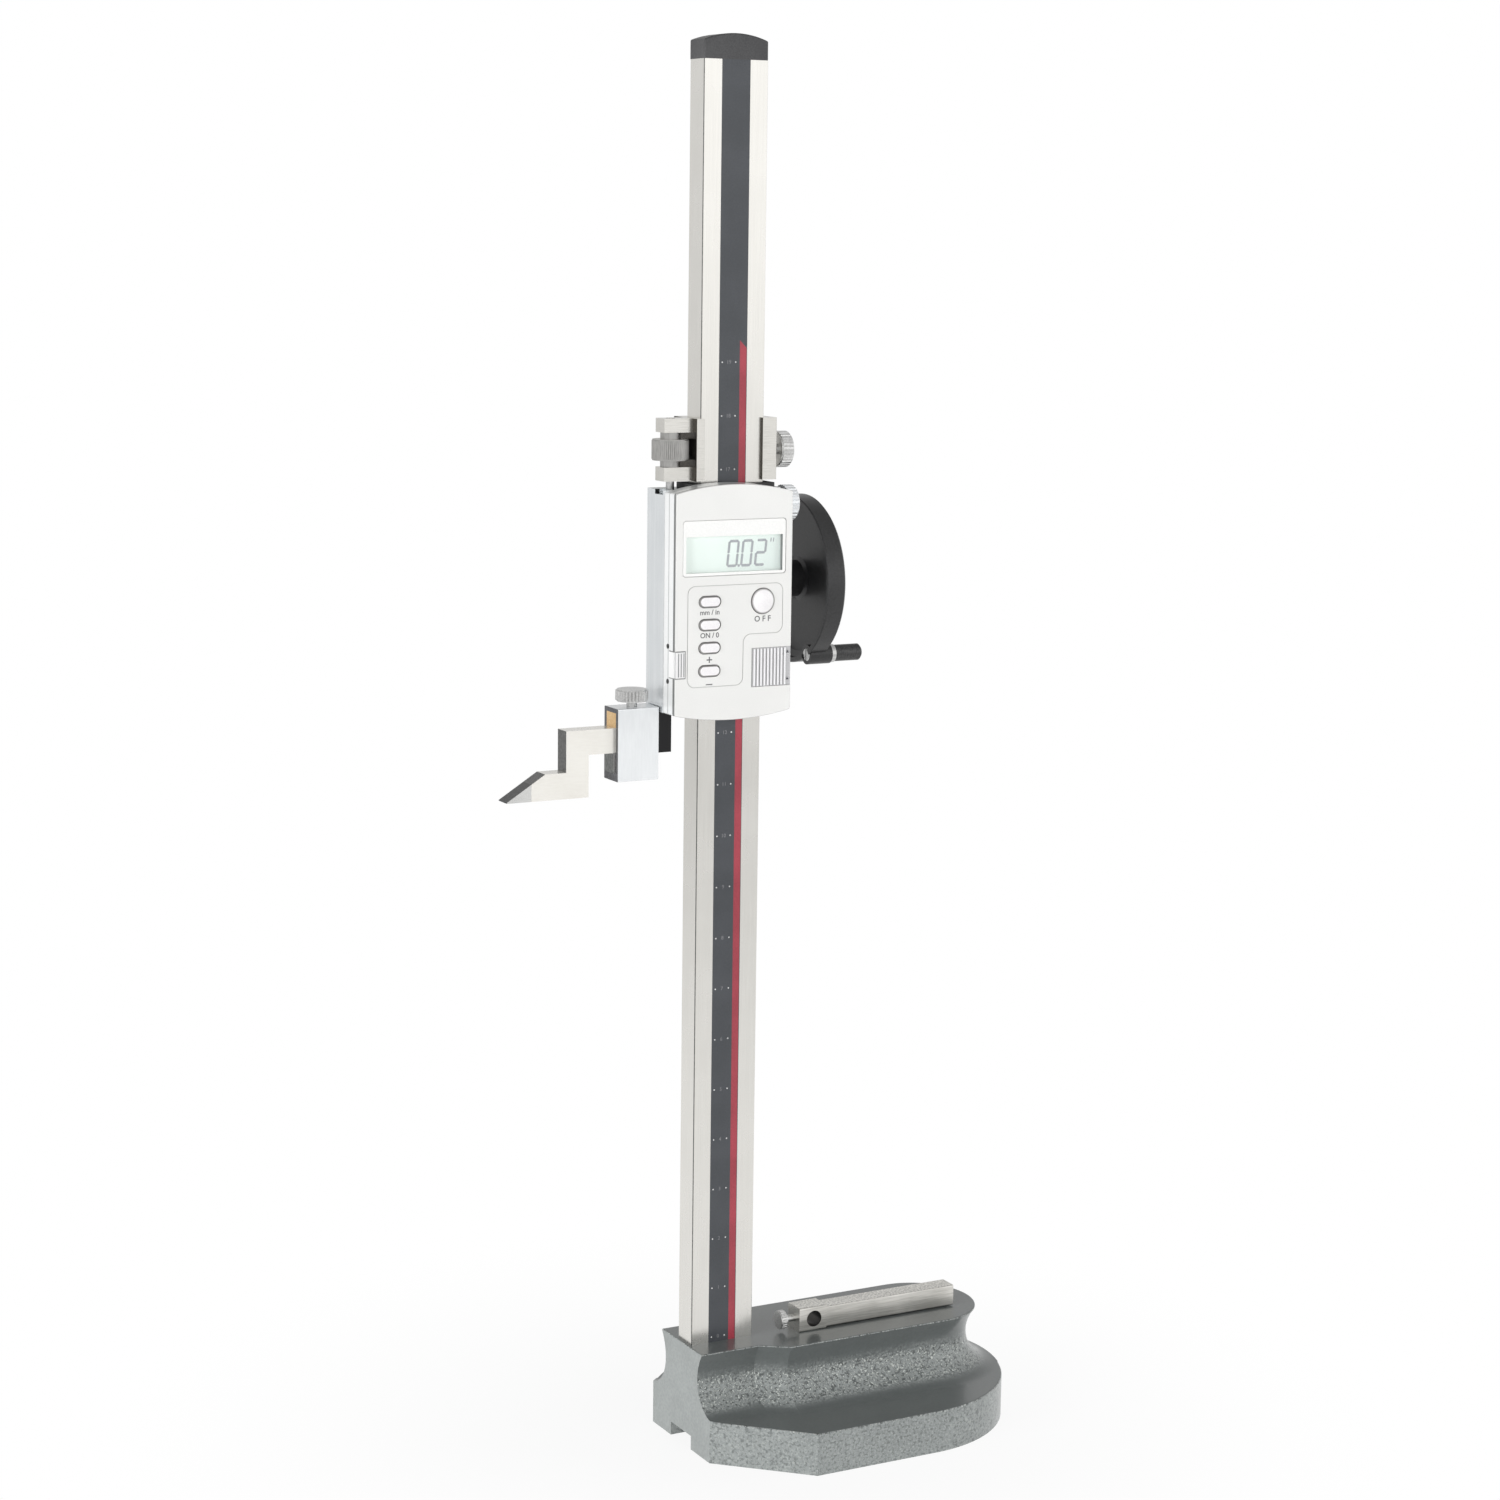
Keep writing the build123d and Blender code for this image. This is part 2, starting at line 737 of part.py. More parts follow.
with BuildPart() as rear_screws:
    with BuildSketch(front_plane(rear_back)):
        with Locations(*rear_screw_places):
            Circle(1.8 * rear_screw_radius)
    extrude(amount=rear_head_height)
    with BuildSketch(front_plane(rear_back)):
        with Locations(*rear_screw_places):
            Circle(rear_screw_radius)
    extrude(amount=rear_plate + rear_screw_bite)
    with BuildSketch(front_plane(rear_back)):
        with Locations(*rear_screw_places):
            RegularPolygon(rear_screw_radius * 0.9, 6)
    extrude(amount=rear_head_height / 2, mode=Mode.SUBTRACT)
save(rear_screws, "rear_screws")

with BuildPart() as pinion_cover:
    with BuildSketch(front_plane(block_back + cover_thickness)):
        with Locations((beam_x, drive_z)):
            RectangleRounded(cover_width, 2 * block_half - 2, 2)
    extrude(amount=cover_thickness)
save(pinion_cover, "pinion_cover")

# wipers that ride round the beam at both ends of the slider
for name, wiper_z in (("wiper_top", slider_top), ("wiper_bottom", slider_bottom - wiper_thickness)):
    with BuildPart() as wiper:
        with BuildSketch(Plane.XY.offset(wiper_z)):
            with Locations((beam_x, (slider_back + housing_back) / 2)):
                RectangleRounded(wiper_width, slider_back - housing_back, 1)
            with Locations((beam_x, 0)):
                Rectangle(beam_width + 4 * slide_gap, beam_depth + 4 * slide_gap, mode=Mode.SUBTRACT)
            with Locations((beam_x, slider_back)):
                Rectangle(2 * rack_channel_half, 4, mode=Mode.SUBTRACT)
        extrude(amount=wiper_thickness)
    save(wiper, name)

# display housing
inner_floor = housing_back - floor_thickness
window_x = beam_x + window_centre_x
window_z = housing_bottom + window_centre_z
lcd_z = housing_bottom + lcd_centre_z
oval_places = [
    (beam_x + oval_x, housing_bottom + oval_top_z - row * oval_pitch) for row in range(oval_count)
]
power_place = (beam_x + power_x, housing_bottom + power_z)
door_x = housing_right - door_width / 2
door_z = housing_bottom + door_bottom + door_height / 2
port_x = housing_left + port_width / 2
port_z = housing_bottom + port_bottom + port_height / 2
bay_x = beam_x + bay_centre


def housing_outline(inset):
    """Front view of the housing: straight flanks with a shallow arc above and below."""
    with BuildSketch() as outline:
        with BuildLine():
            Line((housing_left, side_top), (housing_left, housing_bottom))
            ThreePointArc(
                (housing_left, housing_bottom),
                ((housing_left + housing_right) / 2, housing_bottom - bottom_arc_drop),
                (housing_right, housing_bottom),
            )
            Line((housing_right, housing_bottom), (housing_right, side_top))
            ThreePointArc(
                (housing_right, side_top),
                ((housing_left + housing_right) / 2, side_top + top_arc_rise),
                (housing_left, side_top),
            )
        make_face()
        fillet(outline.vertices(), housing_corner)
        if inset:
            offset(amount=-inset)
    return outline.sketch


with BuildPart() as housing_tray:
    with BuildSketch(front_plane(housing_back)):
        add(housing_outline(0))
    extrude(amount=housing_depth - panel_thickness)
    with BuildSketch(front_plane(inner_floor)):
        add(housing_outline(housing_wall))
        with Locations((bay_x, door_z)):
            RectangleRounded(bay_size, bay_size, 1, mode=Mode.SUBTRACT)
    extrude(amount=housing_depth, mode=Mode.SUBTRACT)
    with BuildSketch(front_plane(battery_back)):
        with Locations((bay_x, door_z)):
            Circle(battery_radius + loose_gap)
    extrude(amount=housing_depth, mode=Mode.SUBTRACT)
    with BuildSketch(front_plane(panel_back + bay_setback)):
        with Locations((bay_x, door_z)):
            Rectangle(bay_size + 1, bay_size + 1)
    extrude(amount=housing_depth, mode=Mode.SUBTRACT)
    with BuildSketch(front_plane(housing_back + 1)):
        with Locations((beam_x, sensor_z)):
            Rectangle(sensor_width + 2 * seat_gap, sensor_height + 2 * seat_gap)
    extrude(amount=floor_thickness + 2, mode=Mode.SUBTRACT)
    with BuildSketch(side_plane(housing_left - 1)):
        with Locations((panel_back + port_side_depth / 2, port_z)):
            Rectangle(port_side_depth, port_height)
    extrude(amount=housing_wall + 2, mode=Mode.SUBTRACT)
    with BuildSketch(side_plane(housing_right - housing_wall - 1)):
        with Locations((panel_back + tongue_depth / 2, door_z)):
            Rectangle(tongue_depth, door_height + 2 * tongue_reach + 0.4)
    extrude(amount=housing_wall + 2, mode=Mode.SUBTRACT)
    with BuildSketch(front_plane(inner_floor)):
        with Locations(*housing_screw_places):
            Circle(housing_screw_radius + seat_gap)
    extrude(amount=-floor_thickness, mode=Mode.SUBTRACT)
    with BuildSketch(side_plane(housing_left)):
        with Locations((side_screw_y, port_z)):
            with GridLocations(1, 2 * side_screw_spread, 1, 2):
                Circle(side_screw_radius + seat_gap)
    extrude(amount=housing_wall, mode=Mode.SUBTRACT)
save(housing_tray, "housing_tray")

with BuildPart() as side_screws:
    with BuildSketch(side_plane(housing_left - side_screw_rise)):
        with Locations((side_screw_y, port_z)):
            with GridLocations(1, 2 * side_screw_spread, 1, 2):
                Circle(side_screw_radius)
    extrude(amount=side_screw_rise + housing_wall)
save(side_screws, "side_screws")

with BuildPart() as housing_screws:
    with BuildSketch(front_plane(inner_floor)):
        with Locations(*housing_screw_places):
            Circle(1.7 * housing_screw_radius)
    extrude(amount=housing_screw_head)
    with BuildSketch(front_plane(inner_floor)):
        with Locations(*housing_screw_places):
            Circle(housing_screw_radius)
    extrude(amount=-(floor_thickness + housing_screw_bite))
save(housing_screws, "housing_screws")

with BuildPart() as front_panel:
    with BuildSketch(front_plane(panel_back)):
        add(housing_outline(0))
    extrude(amount=panel_thickness)
    chamfer(front_panel.faces().sort_by(Axis.Y)[0].edges(), panel_edge)
    chamfer(front_panel.faces().sort_by(Axis.Y)[-1].edges(), panel_seam)
    with BuildSketch(front_plane(panel_back + 1)):
        with Locations((window_x, window_z)):
            RectangleRounded(window_width, window_height, window_corner)
        with Locations(*oval_places):
            SlotOverall(oval_width + 2 * loose_gap, oval_height + 2 * loose_gap)
        with Locations(power_place):
            Circle(power_radius + loose_gap)
        with Locations((door_x + 1, door_z)):
            Rectangle(door_width + 2, door_height)
        with Locations((port_x - 1, port_z)):
            Rectangle(port_width + 2, port_height)
    extrude(amount=panel_thickness + 2, mode=Mode.SUBTRACT)
    with BuildSketch(front_plane(panel_front)):
        with BuildLine() as groove_path:
            FilletPolyline(
                (beam_x + groove_left, housing_bottom + groove_low),
                (beam_x + groove_left, housing_bottom + groove_high),
                (beam_x + groove_right, housing_bottom + groove_high),
                (beam_x + groove_right, housing_bottom + groove_step),
                (beam_x + groove_middle, housing_bottom + groove_step),
                (beam_x + groove_middle, housing_bottom + groove_low),
                radius=groove_radius,
                close=True,
            )
        make_face()
        offset(amount=-groove_width, mode=Mode.SUBTRACT, kind=Kind.INTERSECTION)
    extrude(amount=-groove_depth, mode=Mode.SUBTRACT)
    with BuildSketch(front_plane(panel_back)):
        add(housing_outline(housing_wall + seat_gap))
        add(housing_outline(housing_wall + lip_width), mode=Mode.SUBTRACT)
        with Locations((housing_right, door_z)):
            Rectangle(12, door_height + 2 * tongue_reach + 1, mode=Mode.SUBTRACT)
        with Locations((housing_left, port_z)):
            Rectangle(12, port_height + 1, mode=Mode.SUBTRACT)
    extrude(amount=-lip_depth)
save(front_panel, "front_panel")

with BuildPart() as window_bezel:
    with BuildSketch(front_plane(panel_back)):
        with Locations((window_x, window_z)):
            RectangleRounded(window_width - 2 * trim_gap, window_height - 2 * trim_gap, window_corner)
    extrude(amount=panel_thickness - 0.1)
    chamfer(window_bezel.faces().sort_by(Axis.Y)[0].edges(), 0.2)
    with BuildSketch(front_plane(panel_back)):
        with Locations((window_x, window_z)):
            RectangleRounded(window_width + 2 * bezel_flange, window_height + 2 * bezel_flange, window_corner)
    extrude(amount=-bezel_flange)
    with BuildSketch(front_plane(panel_back + bezel_flange)):
        with Locations((window_x, lcd_z)):
            Rectangle(lcd_width, lcd_height)
    extrude(amount=panel_thickness + 2, mode=Mode.SUBTRACT)
save(window_bezel, "window_bezel")

with BuildPart() as display_lens:
    with BuildSketch(front_plane(panel_back + bezel_flange)):
        with Locations((window_x, lcd_z)):
            Rectangle(lcd_width - 2 * seat_gap, lcd_height - 2 * seat_gap)
    extrude(amount=lens_thickness)
save(display_lens, "display_lens")

lcd_front = panel_back + bezel_flange
with BuildPart() as lcd_panel:
    with BuildSketch(front_plane(lcd_front + lcd_thickness)):
        with Locations((window_x, lcd_z)):
            Rectangle(lcd_width + 3, lcd_height + 3)
    extrude(amount=lcd_thickness)
save(lcd_panel, "lcd_panel")

board_front = lcd_front + lcd_thickness
with BuildPart() as circuit_board:
    with BuildSketch(front_plane(board_front + board_thickness)):
        with Locations((housing_x, housing_bottom + board_centre)):
            Rectangle(housing_width - 2 * board_margin, board_height)
        with Locations((bay_x + 3, door_z)):
            Rectangle(bay_size + 8, bay_size + 1, mode=Mode.SUBTRACT)
    extrude(amount=board_thickness)
save(circuit_board, "circuit_board")

with BuildPart() as reading_head:
    with BuildSketch(front_plane(slot_front)):
        with Locations((beam_x, sensor_z)):
            Rectangle(sensor_width, sensor_height)
    extrude(amount=slot_front - board_front - board_thickness)
save(reading_head, "reading_head")

with BuildPart() as key_mat:
    with BuildSketch(front_plane(board_front)):
        with Locations((beam_x + (oval_x + power_x) / 2, housing_bottom + mat_centre)):
            Rectangle(power_x - oval_x + 2 * power_radius + 2, mat_height)
        with Locations((bay_x + 3, door_z)):
            Rectangle(bay_size + 12, bay_size + 2, mode=Mode.SUBTRACT)
    extrude(amount=mat_thickness)
    with BuildSketch(front_plane(board_front - mat_thickness)):
        with Locations(*oval_places, power_place):
            Circle(mat_dome_radius)
    extrude(amount=mat_dome_height)
save(key_mat, "key_mat")

key_back = panel_back + key_flange
key_front = panel_front - key_rise
key_names = ["key_zero", "key_hold", "key_unit", "key_mode"]
for name, place in zip(key_names, oval_places):
    with BuildPart() as oval_key:
        with BuildSketch(front_plane(key_back)):
            with Locations(place):
                SlotOverall(oval_width, oval_height)
        extrude(amount=key_back - key_front)
        fillet(oval_key.faces().sort_by(Axis.Y)[0].edges(), key_round)
        with BuildSketch(front_plane(key_back)):
            with Locations(place):
                SlotOverall(oval_width + 2 * key_skirt, oval_height + 2 * key_skirt)
        extrude(amount=key_flange - seat_gap)
    save(oval_key, name)

# the round key is turned about its own axis: section with x outwards and y towards the front
power_x_place, power_z_place = power_place
power_section = Plane(origin=(power_x_place, panel_front, power_z_place), x_dir=(1, 0, 0), z_dir=(0, 0, -1))
key_depth = key_back - panel_front
with BuildPart() as power_key:
    with BuildSketch(power_section):
        with BuildLine():
            Polyline(
                (0, power_dome),
                (0, -key_depth),
                (power_radius + key_skirt, -key_depth),
                (power_radius + key_skirt, -panel_thickness - seat_gap),
                (power_radius, -panel_thickness - seat_gap),
                (power_radius, key_rim),
            )
            TangentArc((0, power_dome), (power_radius, key_rim), tangent=(1, 0))
        make_face()
    revolve(axis=Axis((power_x_place, panel_front, power_z_place), (0, -1, 0)))
save(power_key, "power_key")

rib_pitch = (door_width - 3) / door_ribs
with BuildPart() as battery_door:
    with BuildSketch(front_plane(panel_back)):
        with Locations((door_x, door_z)):
            Rectangle(door_width - 2 * trim_gap, door_height - 2 * trim_gap)
    extrude(amount=panel_thickness - door_rib_depth / 2)
    with BuildSketch(front_plane(panel_front + door_rib_depth / 2)):
        with Locations((door_x - 1, door_z)):
            with GridLocations(rib_pitch, 1, door_ribs, 1):
                Rectangle(rib_pitch / 2, door_height - 1)
    extrude(amount=door_rib_depth)
    with BuildSketch(front_plane(panel_front)):
        with Locations((housing_right - 1.3, door_z)):
            with GridLocations(1, door_height * 0.65, 1, 2):
                Circle(0.7)
    extrude(amount=-0.6, mode=Mode.SUBTRACT)
    with BuildSketch(front_plane(panel_back + tongue_thickness)):
        with Locations((door_x - 2, door_z)):
            Rectangle(door_width - 5, door_height + 2 * tongue_reach)
    extrude(amount=tongue_thickness - seat_gap)
    with BuildSketch(front_plane(panel_back)):
        with Locations((door_x - 2, door_z)):
            Rectangle(door_width - 5, door_height - 1)
    extrude(amount=-tongue_thickness)
save(battery_door, "battery_door")

with BuildPart() as battery:
    with BuildSketch(front_plane(battery_back - contact_thickness)):
        with Locations((bay_x, door_z)):
            Circle(battery_radius)
    extrude(amount=battery_height)
    chamfer(battery.edges().filter_by(GeomType.CIRCLE), 0.4)
save(battery, "battery")

with BuildPart() as battery_contact:
    with BuildSketch(front_plane(battery_back)):
        with Locations((bay_x, door_z)):
            Circle(battery_radius * 0.7)
    extrude(amount=contact_thickness)
save(battery_contact, "battery_contact")

with BuildPart() as port_cover:
    with BuildSketch(front_plane(panel_back)):
        with Locations((port_x, port_z)):
            Rectangle(port_width - 2 * trim_gap, port_height - 2 * trim_gap)
    extrude(amount=panel_thickness + 0.2)
    with BuildSketch(side_plane(housing_left - 0.2)):
        with Locations(((panel_back - 0.5 + panel_back + port_side_depth) / 2 - slide_gap, port_z)):
            Rectangle(port_side_depth + 0.5, port_height - 2 * trim_gap)
    extrude(amount=housing_wall)
    with BuildSketch(front_plane(panel_front - 0.2)):
        with Locations((port_x + 0.4, port_z)):
            with GridLocations(1.4, 1, 3, 1):
                Rectangle(0.5, port_height - 2)
    extrude(amount=-0.3, mode=Mode.SUBTRACT)
save(port_cover, "port_cover")

with BuildPart() as data_port:
    with BuildSketch(front_plane(board_front)):
        with Locations((housing_left + housing_wall + port_width / 2, port_z)):
            Rectangle(port_width - housing_wall, port_height - 3)
    extrude(amount=board_front - panel_back - 0.3)
save(data_port, "data_port")

# handwheel and crank
wheel_origin = beam_x + wheel_inner
wheel_outer = wheel_inner + wheel_width
crank_y = drive_y - crank_radius * sin(radians(crank_angle))
crank_z = drive_z - crank_radius * cos(radians(crank_angle))
crank_plane = Plane(origin=(beam_x, crank_y, crank_z), x_dir=(0, 1, 0), z_dir=(1, 0, 0))
drive_axis = Axis((beam_x, drive_y, drive_z), (1, 0, 0))
boss_left = wheel_inner + boss_setback
boss_right = boss_left + boss_length
rim_inner_radius = wheel_radius - rim_wall

with BuildPart() as handwheel:
    with BuildSketch(front_plane(drive_y)) as wheel_section:
        with BuildLine():
            Polyline(
                (wheel_origin - hub_reach, drive_z + shaft_radius + seat_gap),
                (wheel_origin - hub_reach, drive_z + hub_radius - 1),
                (wheel_origin - hub_reach + 1, drive_z + hub_radius),
                (beam_x + wheel_outer - 2 * web_thickness, drive_z + hub_radius),
                (beam_x + wheel_outer - 1.6 * web_thickness, drive_z + hub_radius + 2),
                (beam_x + wheel_outer - 1.6 * web_thickness, drive_z + rim_inner_radius - 3),
                (beam_x + wheel_outer - 2.2 * web_thickness, drive_z + rim_inner_radius),
                (wheel_origin, drive_z + rim_inner_radius),
                (wheel_origin, drive_z + wheel_radius - rim_chamfer),
                (wheel_origin + rim_chamfer, drive_z + wheel_radius),
                (beam_x + wheel_outer - 2 * rim_chamfer, drive_z + wheel_radius),
                (beam_x + wheel_outer, drive_z + wheel_radius - 2 * rim_chamfer),
                (beam_x + wheel_outer, drive_z + rim_inner_radius - 1),
                (beam_x + wheel_outer - 0.6 * web_thickness, drive_z + rim_inner_radius - 4),
                (beam_x + wheel_outer - 0.6 * web_thickness, drive_z + hub_radius + 2),
                (beam_x + wheel_outer, drive_z + hub_radius),
                (beam_x + wheel_outer, drive_z + shaft_radius + seat_gap),
                close=True,
            )
        make_face()
    revolve(axis=drive_axis)
    with BuildSketch(crank_plane.offset(boss_left)):
        Circle(boss_radius)
    extrude(amount=boss_length)
    with BuildSketch(crank_plane.offset(boss_left)):
        Circle(crank_pin_radius + seat_gap)
    extrude(amount=boss_length, mode=Mode.SUBTRACT)
    with BuildSketch(crank_plane.offset(wheel_inner)):
        Circle(crank_head_radius + seat_gap)
    extrude(amount=boss_setback + crank_head_depth, mode=Mode.SUBTRACT)
save(handwheel, "handwheel")

with BuildPart() as wheel_screw:
    with BuildSketch(drive_plane.offset(wheel_outer)):
        Circle(shaft_radius + 1.5)
    extrude(amount=1.6)
    chamfer(wheel_screw.faces().sort_by(Axis.X)[-1].edges(), 0.5)
    with BuildSketch(drive_plane.offset(wheel_outer)):
        Circle(wheel_screw_radius)
    extrude(amount=-(wheel_screw_length - 1))
    with BuildSketch(drive_plane.offset(wheel_outer + 1.6)):
        RegularPolygon(wheel_screw_radius, 6)
    extrude(amount=-1.2, mode=Mode.SUBTRACT)
save(wheel_screw, "wheel_screw")

collar_right = boss_right + collar_width
grip_left = collar_right + slide_gap
grip_right = grip_left + grip_length
pin_right = grip_right - grip_end_wall
with BuildPart() as crank_pin:
    with BuildSketch(front_plane(crank_y)):
        with BuildLine():
            Polyline(
                (beam_x + boss_left - 0.3, crank_z),
                (beam_x + boss_left - 0.3, crank_z + crank_head_radius - 0.4),
                (beam_x + boss_left + 0.1, crank_z + crank_head_radius),
                (beam_x + boss_left + crank_head_depth, crank_z + crank_head_radius),
                (beam_x + boss_left + crank_head_depth, crank_z + crank_pin_radius),
                (beam_x + boss_right, crank_z + crank_pin_radius),
                (beam_x + boss_right, crank_z + boss_radius - 0.4),
                (beam_x + collar_right, crank_z + boss_radius - 0.4),
                (beam_x + collar_right, crank_z + crank_pin_radius),
                (beam_x + pin_right - pin_button, crank_z + crank_pin_radius),
                (beam_x + pin_right - pin_button, crank_z + crank_pin_radius + 0.6),
                (beam_x + pin_right, crank_z + crank_pin_radius + 0.6),
                (beam_x + pin_right, crank_z),
                close=True,
            )
        make_face()
    revolve(axis=Axis((beam_x, crank_y, crank_z), (1, 0, 0)))
    with BuildSketch(crank_plane.offset(boss_left - 0.3)):
        Rectangle(0.8, 3 * crank_head_radius)
    extrude(amount=0.8, mode=Mode.SUBTRACT)
save(crank_pin, "crank_pin")

with BuildPart() as crank_grip:
    with BuildSketch(front_plane(crank_y)):
        with BuildLine():
            Polyline(
                (beam_x + grip_left, crank_z + crank_pin_radius + shaft_gap),
                (beam_x + grip_left, crank_z + grip_radius - 0.4),
                (beam_x + grip_left + 0.4, crank_z + grip_radius),
                (beam_x + grip_right - 1, crank_z + grip_radius),
                (beam_x + grip_right, crank_z + grip_radius - 1),
                (beam_x + grip_right, crank_z),
                (beam_x + pin_right + slide_gap, crank_z),
                (beam_x + pin_right + slide_gap, crank_z + crank_pin_radius + 0.6 + shaft_gap),
                (beam_x + pin_right - pin_button - slide_gap, crank_z + crank_pin_radius + 0.6 + shaft_gap),
                (beam_x + pin_right - pin_button - slide_gap, crank_z + crank_pin_radius + shaft_gap),
                close=True,
            )
        make_face()
    revolve(axis=Axis((beam_x, crank_y, crank_z), (1, 0, 0)))
save(crank_grip, "crank_grip")


# knurled knobs
def knurled_ring(radius, notches, depth):
    """Round knob section with straight knurl notches cut round its edge."""
    with BuildSketch() as ring:
        Circle(radius)
        with PolarLocations(radius, notches):
            Rectangle(depth, depth, rotation=45, mode=Mode.SUBTRACT)
    return ring.sketch


def knurled_knob(plane, radius, height, notches, depth):
    """Knurled disc standing on a plane, its notches stopping at two plain edges."""
    with BuildPart() as knob:
        with BuildSketch(plane.offset(knurl_margin)):
            add(knurled_ring(radius, notches, depth))
        extrude(amount=height - 2 * knurl_margin)
        for start in (0, height - knurl_margin):
            with BuildSketch(plane.offset(start)):
                Circle(radius - depth)
            extrude(amount=knurl_margin)
    return knob.part


carriage_top = carriage_bottom + carriage_height
carriage_back = slider_back + rear_plate
lower_arm_top = carriage_bottom + arm_thickness
upper_arm_bottom = carriage_top - arm_thickness
fine_x = beam_x - fine_axis

with BuildPart() as carriage:
    with BuildSketch(Plane.XY.offset(carriage_bottom)):
        with Locations((beam_x + (carriage_right - carriage_left) / 2, (carriage_back - carriage_front) / 2)):
            RectangleRounded(carriage_right + carriage_left, carriage_back + carriage_front, 0.8)
        with Locations((beam_x, 0)):
            Rectangle(beam_width + 2 * slide_gap, beam_depth + 2 * slide_gap, mode=Mode.SUBTRACT)
        with Locations((beam_x, -carriage_front)):
            Rectangle(beam_width - 2 * carriage_lip, 2 * carriage_front, mode=Mode.SUBTRACT)
        with Locations((beam_x, beam_back)):
            Rectangle(2 * rack_channel_half, 2 * rack_channel_depth, mode=Mode.SUBTRACT)
    extrude(amount=carriage_height)
    with BuildSketch(front_plane(arm_depth / 2)):
        with Locations(
            (beam_x - (arm_reach + carriage_left) / 2, carriage_bottom + arm_thickness / 2),
            (beam_x - (arm_reach + carriage_left) / 2, carriage_top - arm_thickness / 2),
        ):
            Rectangle(arm_reach - carriage_left + 0.01, arm_thickness)
    extrude(amount=arm_depth)
    fillet(carriage.edges().filter_by(Axis.Z).group_by(Axis.X)[0], 0.8)
    with BuildSketch(Plane.XY.offset(lower_arm_top)):
        with Locations((fine_x, 0)):
            Circle(fine_nut_radius + loose_gap)
    extrude(amount=upper_arm_bottom - lower_arm_top, mode=Mode.SUBTRACT)
    with Locations((fine_x, 0, carriage_top)):
        Hole(fine_screw_radius + loose_gap, carriage_height)
    knob_plane = Plane(origin=(beam_x + carriage_right, 0, 0), x_dir=(0, 1, 0), z_dir=(1, 0, 0))
    with Locations(knob_plane.location * Location((0, carriage_knob_z, 0))):
        Hole(knob_stem_radius + shaft_gap, carriage_right - beam_width / 2)
save(carriage, "carriage")

with BuildPart() as fine_screw:
    with BuildSketch(Plane.XY.offset(slider_top - fine_screw_depth)):
        with Locations((fine_x, 0)):
            Circle(fine_screw_radius)
    extrude(amount=carriage_top - slider_top + fine_screw_depth - fine_screw_short)
    chamfer(fine_screw.edges().group_by(Axis.Z)[-1], 0.5)
save(fine_screw, "fine_screw")

nut_bottom = lower_arm_top + slide_gap
nut_top = upper_arm_bottom - slide_gap
nut_rim_bottom = (nut_bottom + nut_top - fine_nut_height) / 2
with BuildPart() as fine_nut:
    with BuildSketch(Plane.XY.offset(nut_bottom)):
        with Locations((fine_x, 0)):
            Circle(fine_hub_radius)
    extrude(amount=nut_top - nut_bottom)
    nut_plane = Plane((fine_x, 0, nut_rim_bottom))
    add(knurled_knob(nut_plane, fine_nut_radius, fine_nut_height, fine_knurl_count, fine_knurl_depth))
    with BuildSketch(Plane.XY.offset(nut_bottom)):
        with Locations((fine_x, 0)):
            Circle(fine_screw_radius + shaft_gap)
    extrude(amount=nut_top - nut_bottom, mode=Mode.SUBTRACT)
save(fine_nut, "fine_nut")

# clamp knobs of the carriage and of the slider, each with a brass shoe at its tip
clamp_knobs = (
    ("carriage", carriage_knob_x, carriage_knob_z, beam_width / 2 + slide_gap),
    ("slider", slider_knob_x, slider_knob_z, gib_wall - slide_gap + seat_gap),
)
for owner, knob_x, knob_z, shoe_x in clamp_knobs:
    stem_x = shoe_x + shoe_thickness + seat_gap
    knob_centre = Plane(origin=(beam_x + knob_x, 0, knob_z), x_dir=(0, 1, 0), z_dir=(1, 0, 0))
    with BuildPart() as clamp_knob:
        add(knurled_knob(knob_centre, knob_radius, knob_width, knurl_count, knurl_depth))
        with BuildSketch(knob_centre.offset(stem_x - knob_x)):
            Circle(knob_stem_radius)
        extrude(amount=knob_x - stem_x)
        with BuildSketch(knob_centre):
            Circle(knob_radius - 2)
        extrude(amount=0.8, mode=Mode.SUBTRACT)
        with BuildSketch(knob_centre):
            Circle(knob_stem_radius)
        extrude(amount=0.8)
    save(clamp_knob, f"{owner}_knob")
    with BuildPart() as shoe:
        with BuildSketch(knob_centre.offset(shoe_x - knob_x)):
            Circle(knob_stem_radius)
        extrude(amount=shoe_thickness)
    save(shoe, f"{owner}_shoe")

# measuring jaw, scriber and clamp
arm_bottom = slider_bottom + jaw_arm_bottom
arm_top = arm_bottom + jaw_arm_height
shank_bottom = arm_top + seat_gap
shank_top = shank_bottom + shank_height
foot_bottom = arm_top - scriber_drop
foot_top = foot_bottom + scriber_foot
box_bottom = slider_bottom + clamp_bottom
box_top = box_bottom + clamp_height
box_floor = arm_bottom - slide_gap
box_ceiling = box_top - clamp_roof
clamp_x = beam_x - (clamp_left + clamp_right) / 2

with BuildPart() as measuring_jaw:
    with BuildSketch(front_plane(jaw_depth / 2)):
        with BuildLine():
            Polyline(
                (beam_x - jaw_arm_reach, arm_bottom),
                (beam_x - jaw_riser_right, arm_bottom),
                (beam_x - jaw_riser_right, slider_bottom - jaw_root_drop),
                (beam_x - jaw_root_right, slider_bottom - jaw_root_drop),
                (beam_x - jaw_root_right, slider_bottom),
                (beam_x - jaw_root_left, slider_bottom),
                (beam_x - jaw_root_left, box_ceiling - 2 * slide_gap),
                (beam_x - jaw_riser_left, box_ceiling - 2 * slide_gap),
                (beam_x - jaw_riser_left, arm_top),
                (beam_x - jaw_arm_reach, arm_top),
                close=True,
            )
        make_face()
    extrude(amount=jaw_depth)
    with BuildSketch(Plane.XY.offset(slider_bottom)):
        with Locations((tenon_x, 0)):
            Rectangle(tenon_width, tenon_depth)
    extrude(amount=tenon_height)
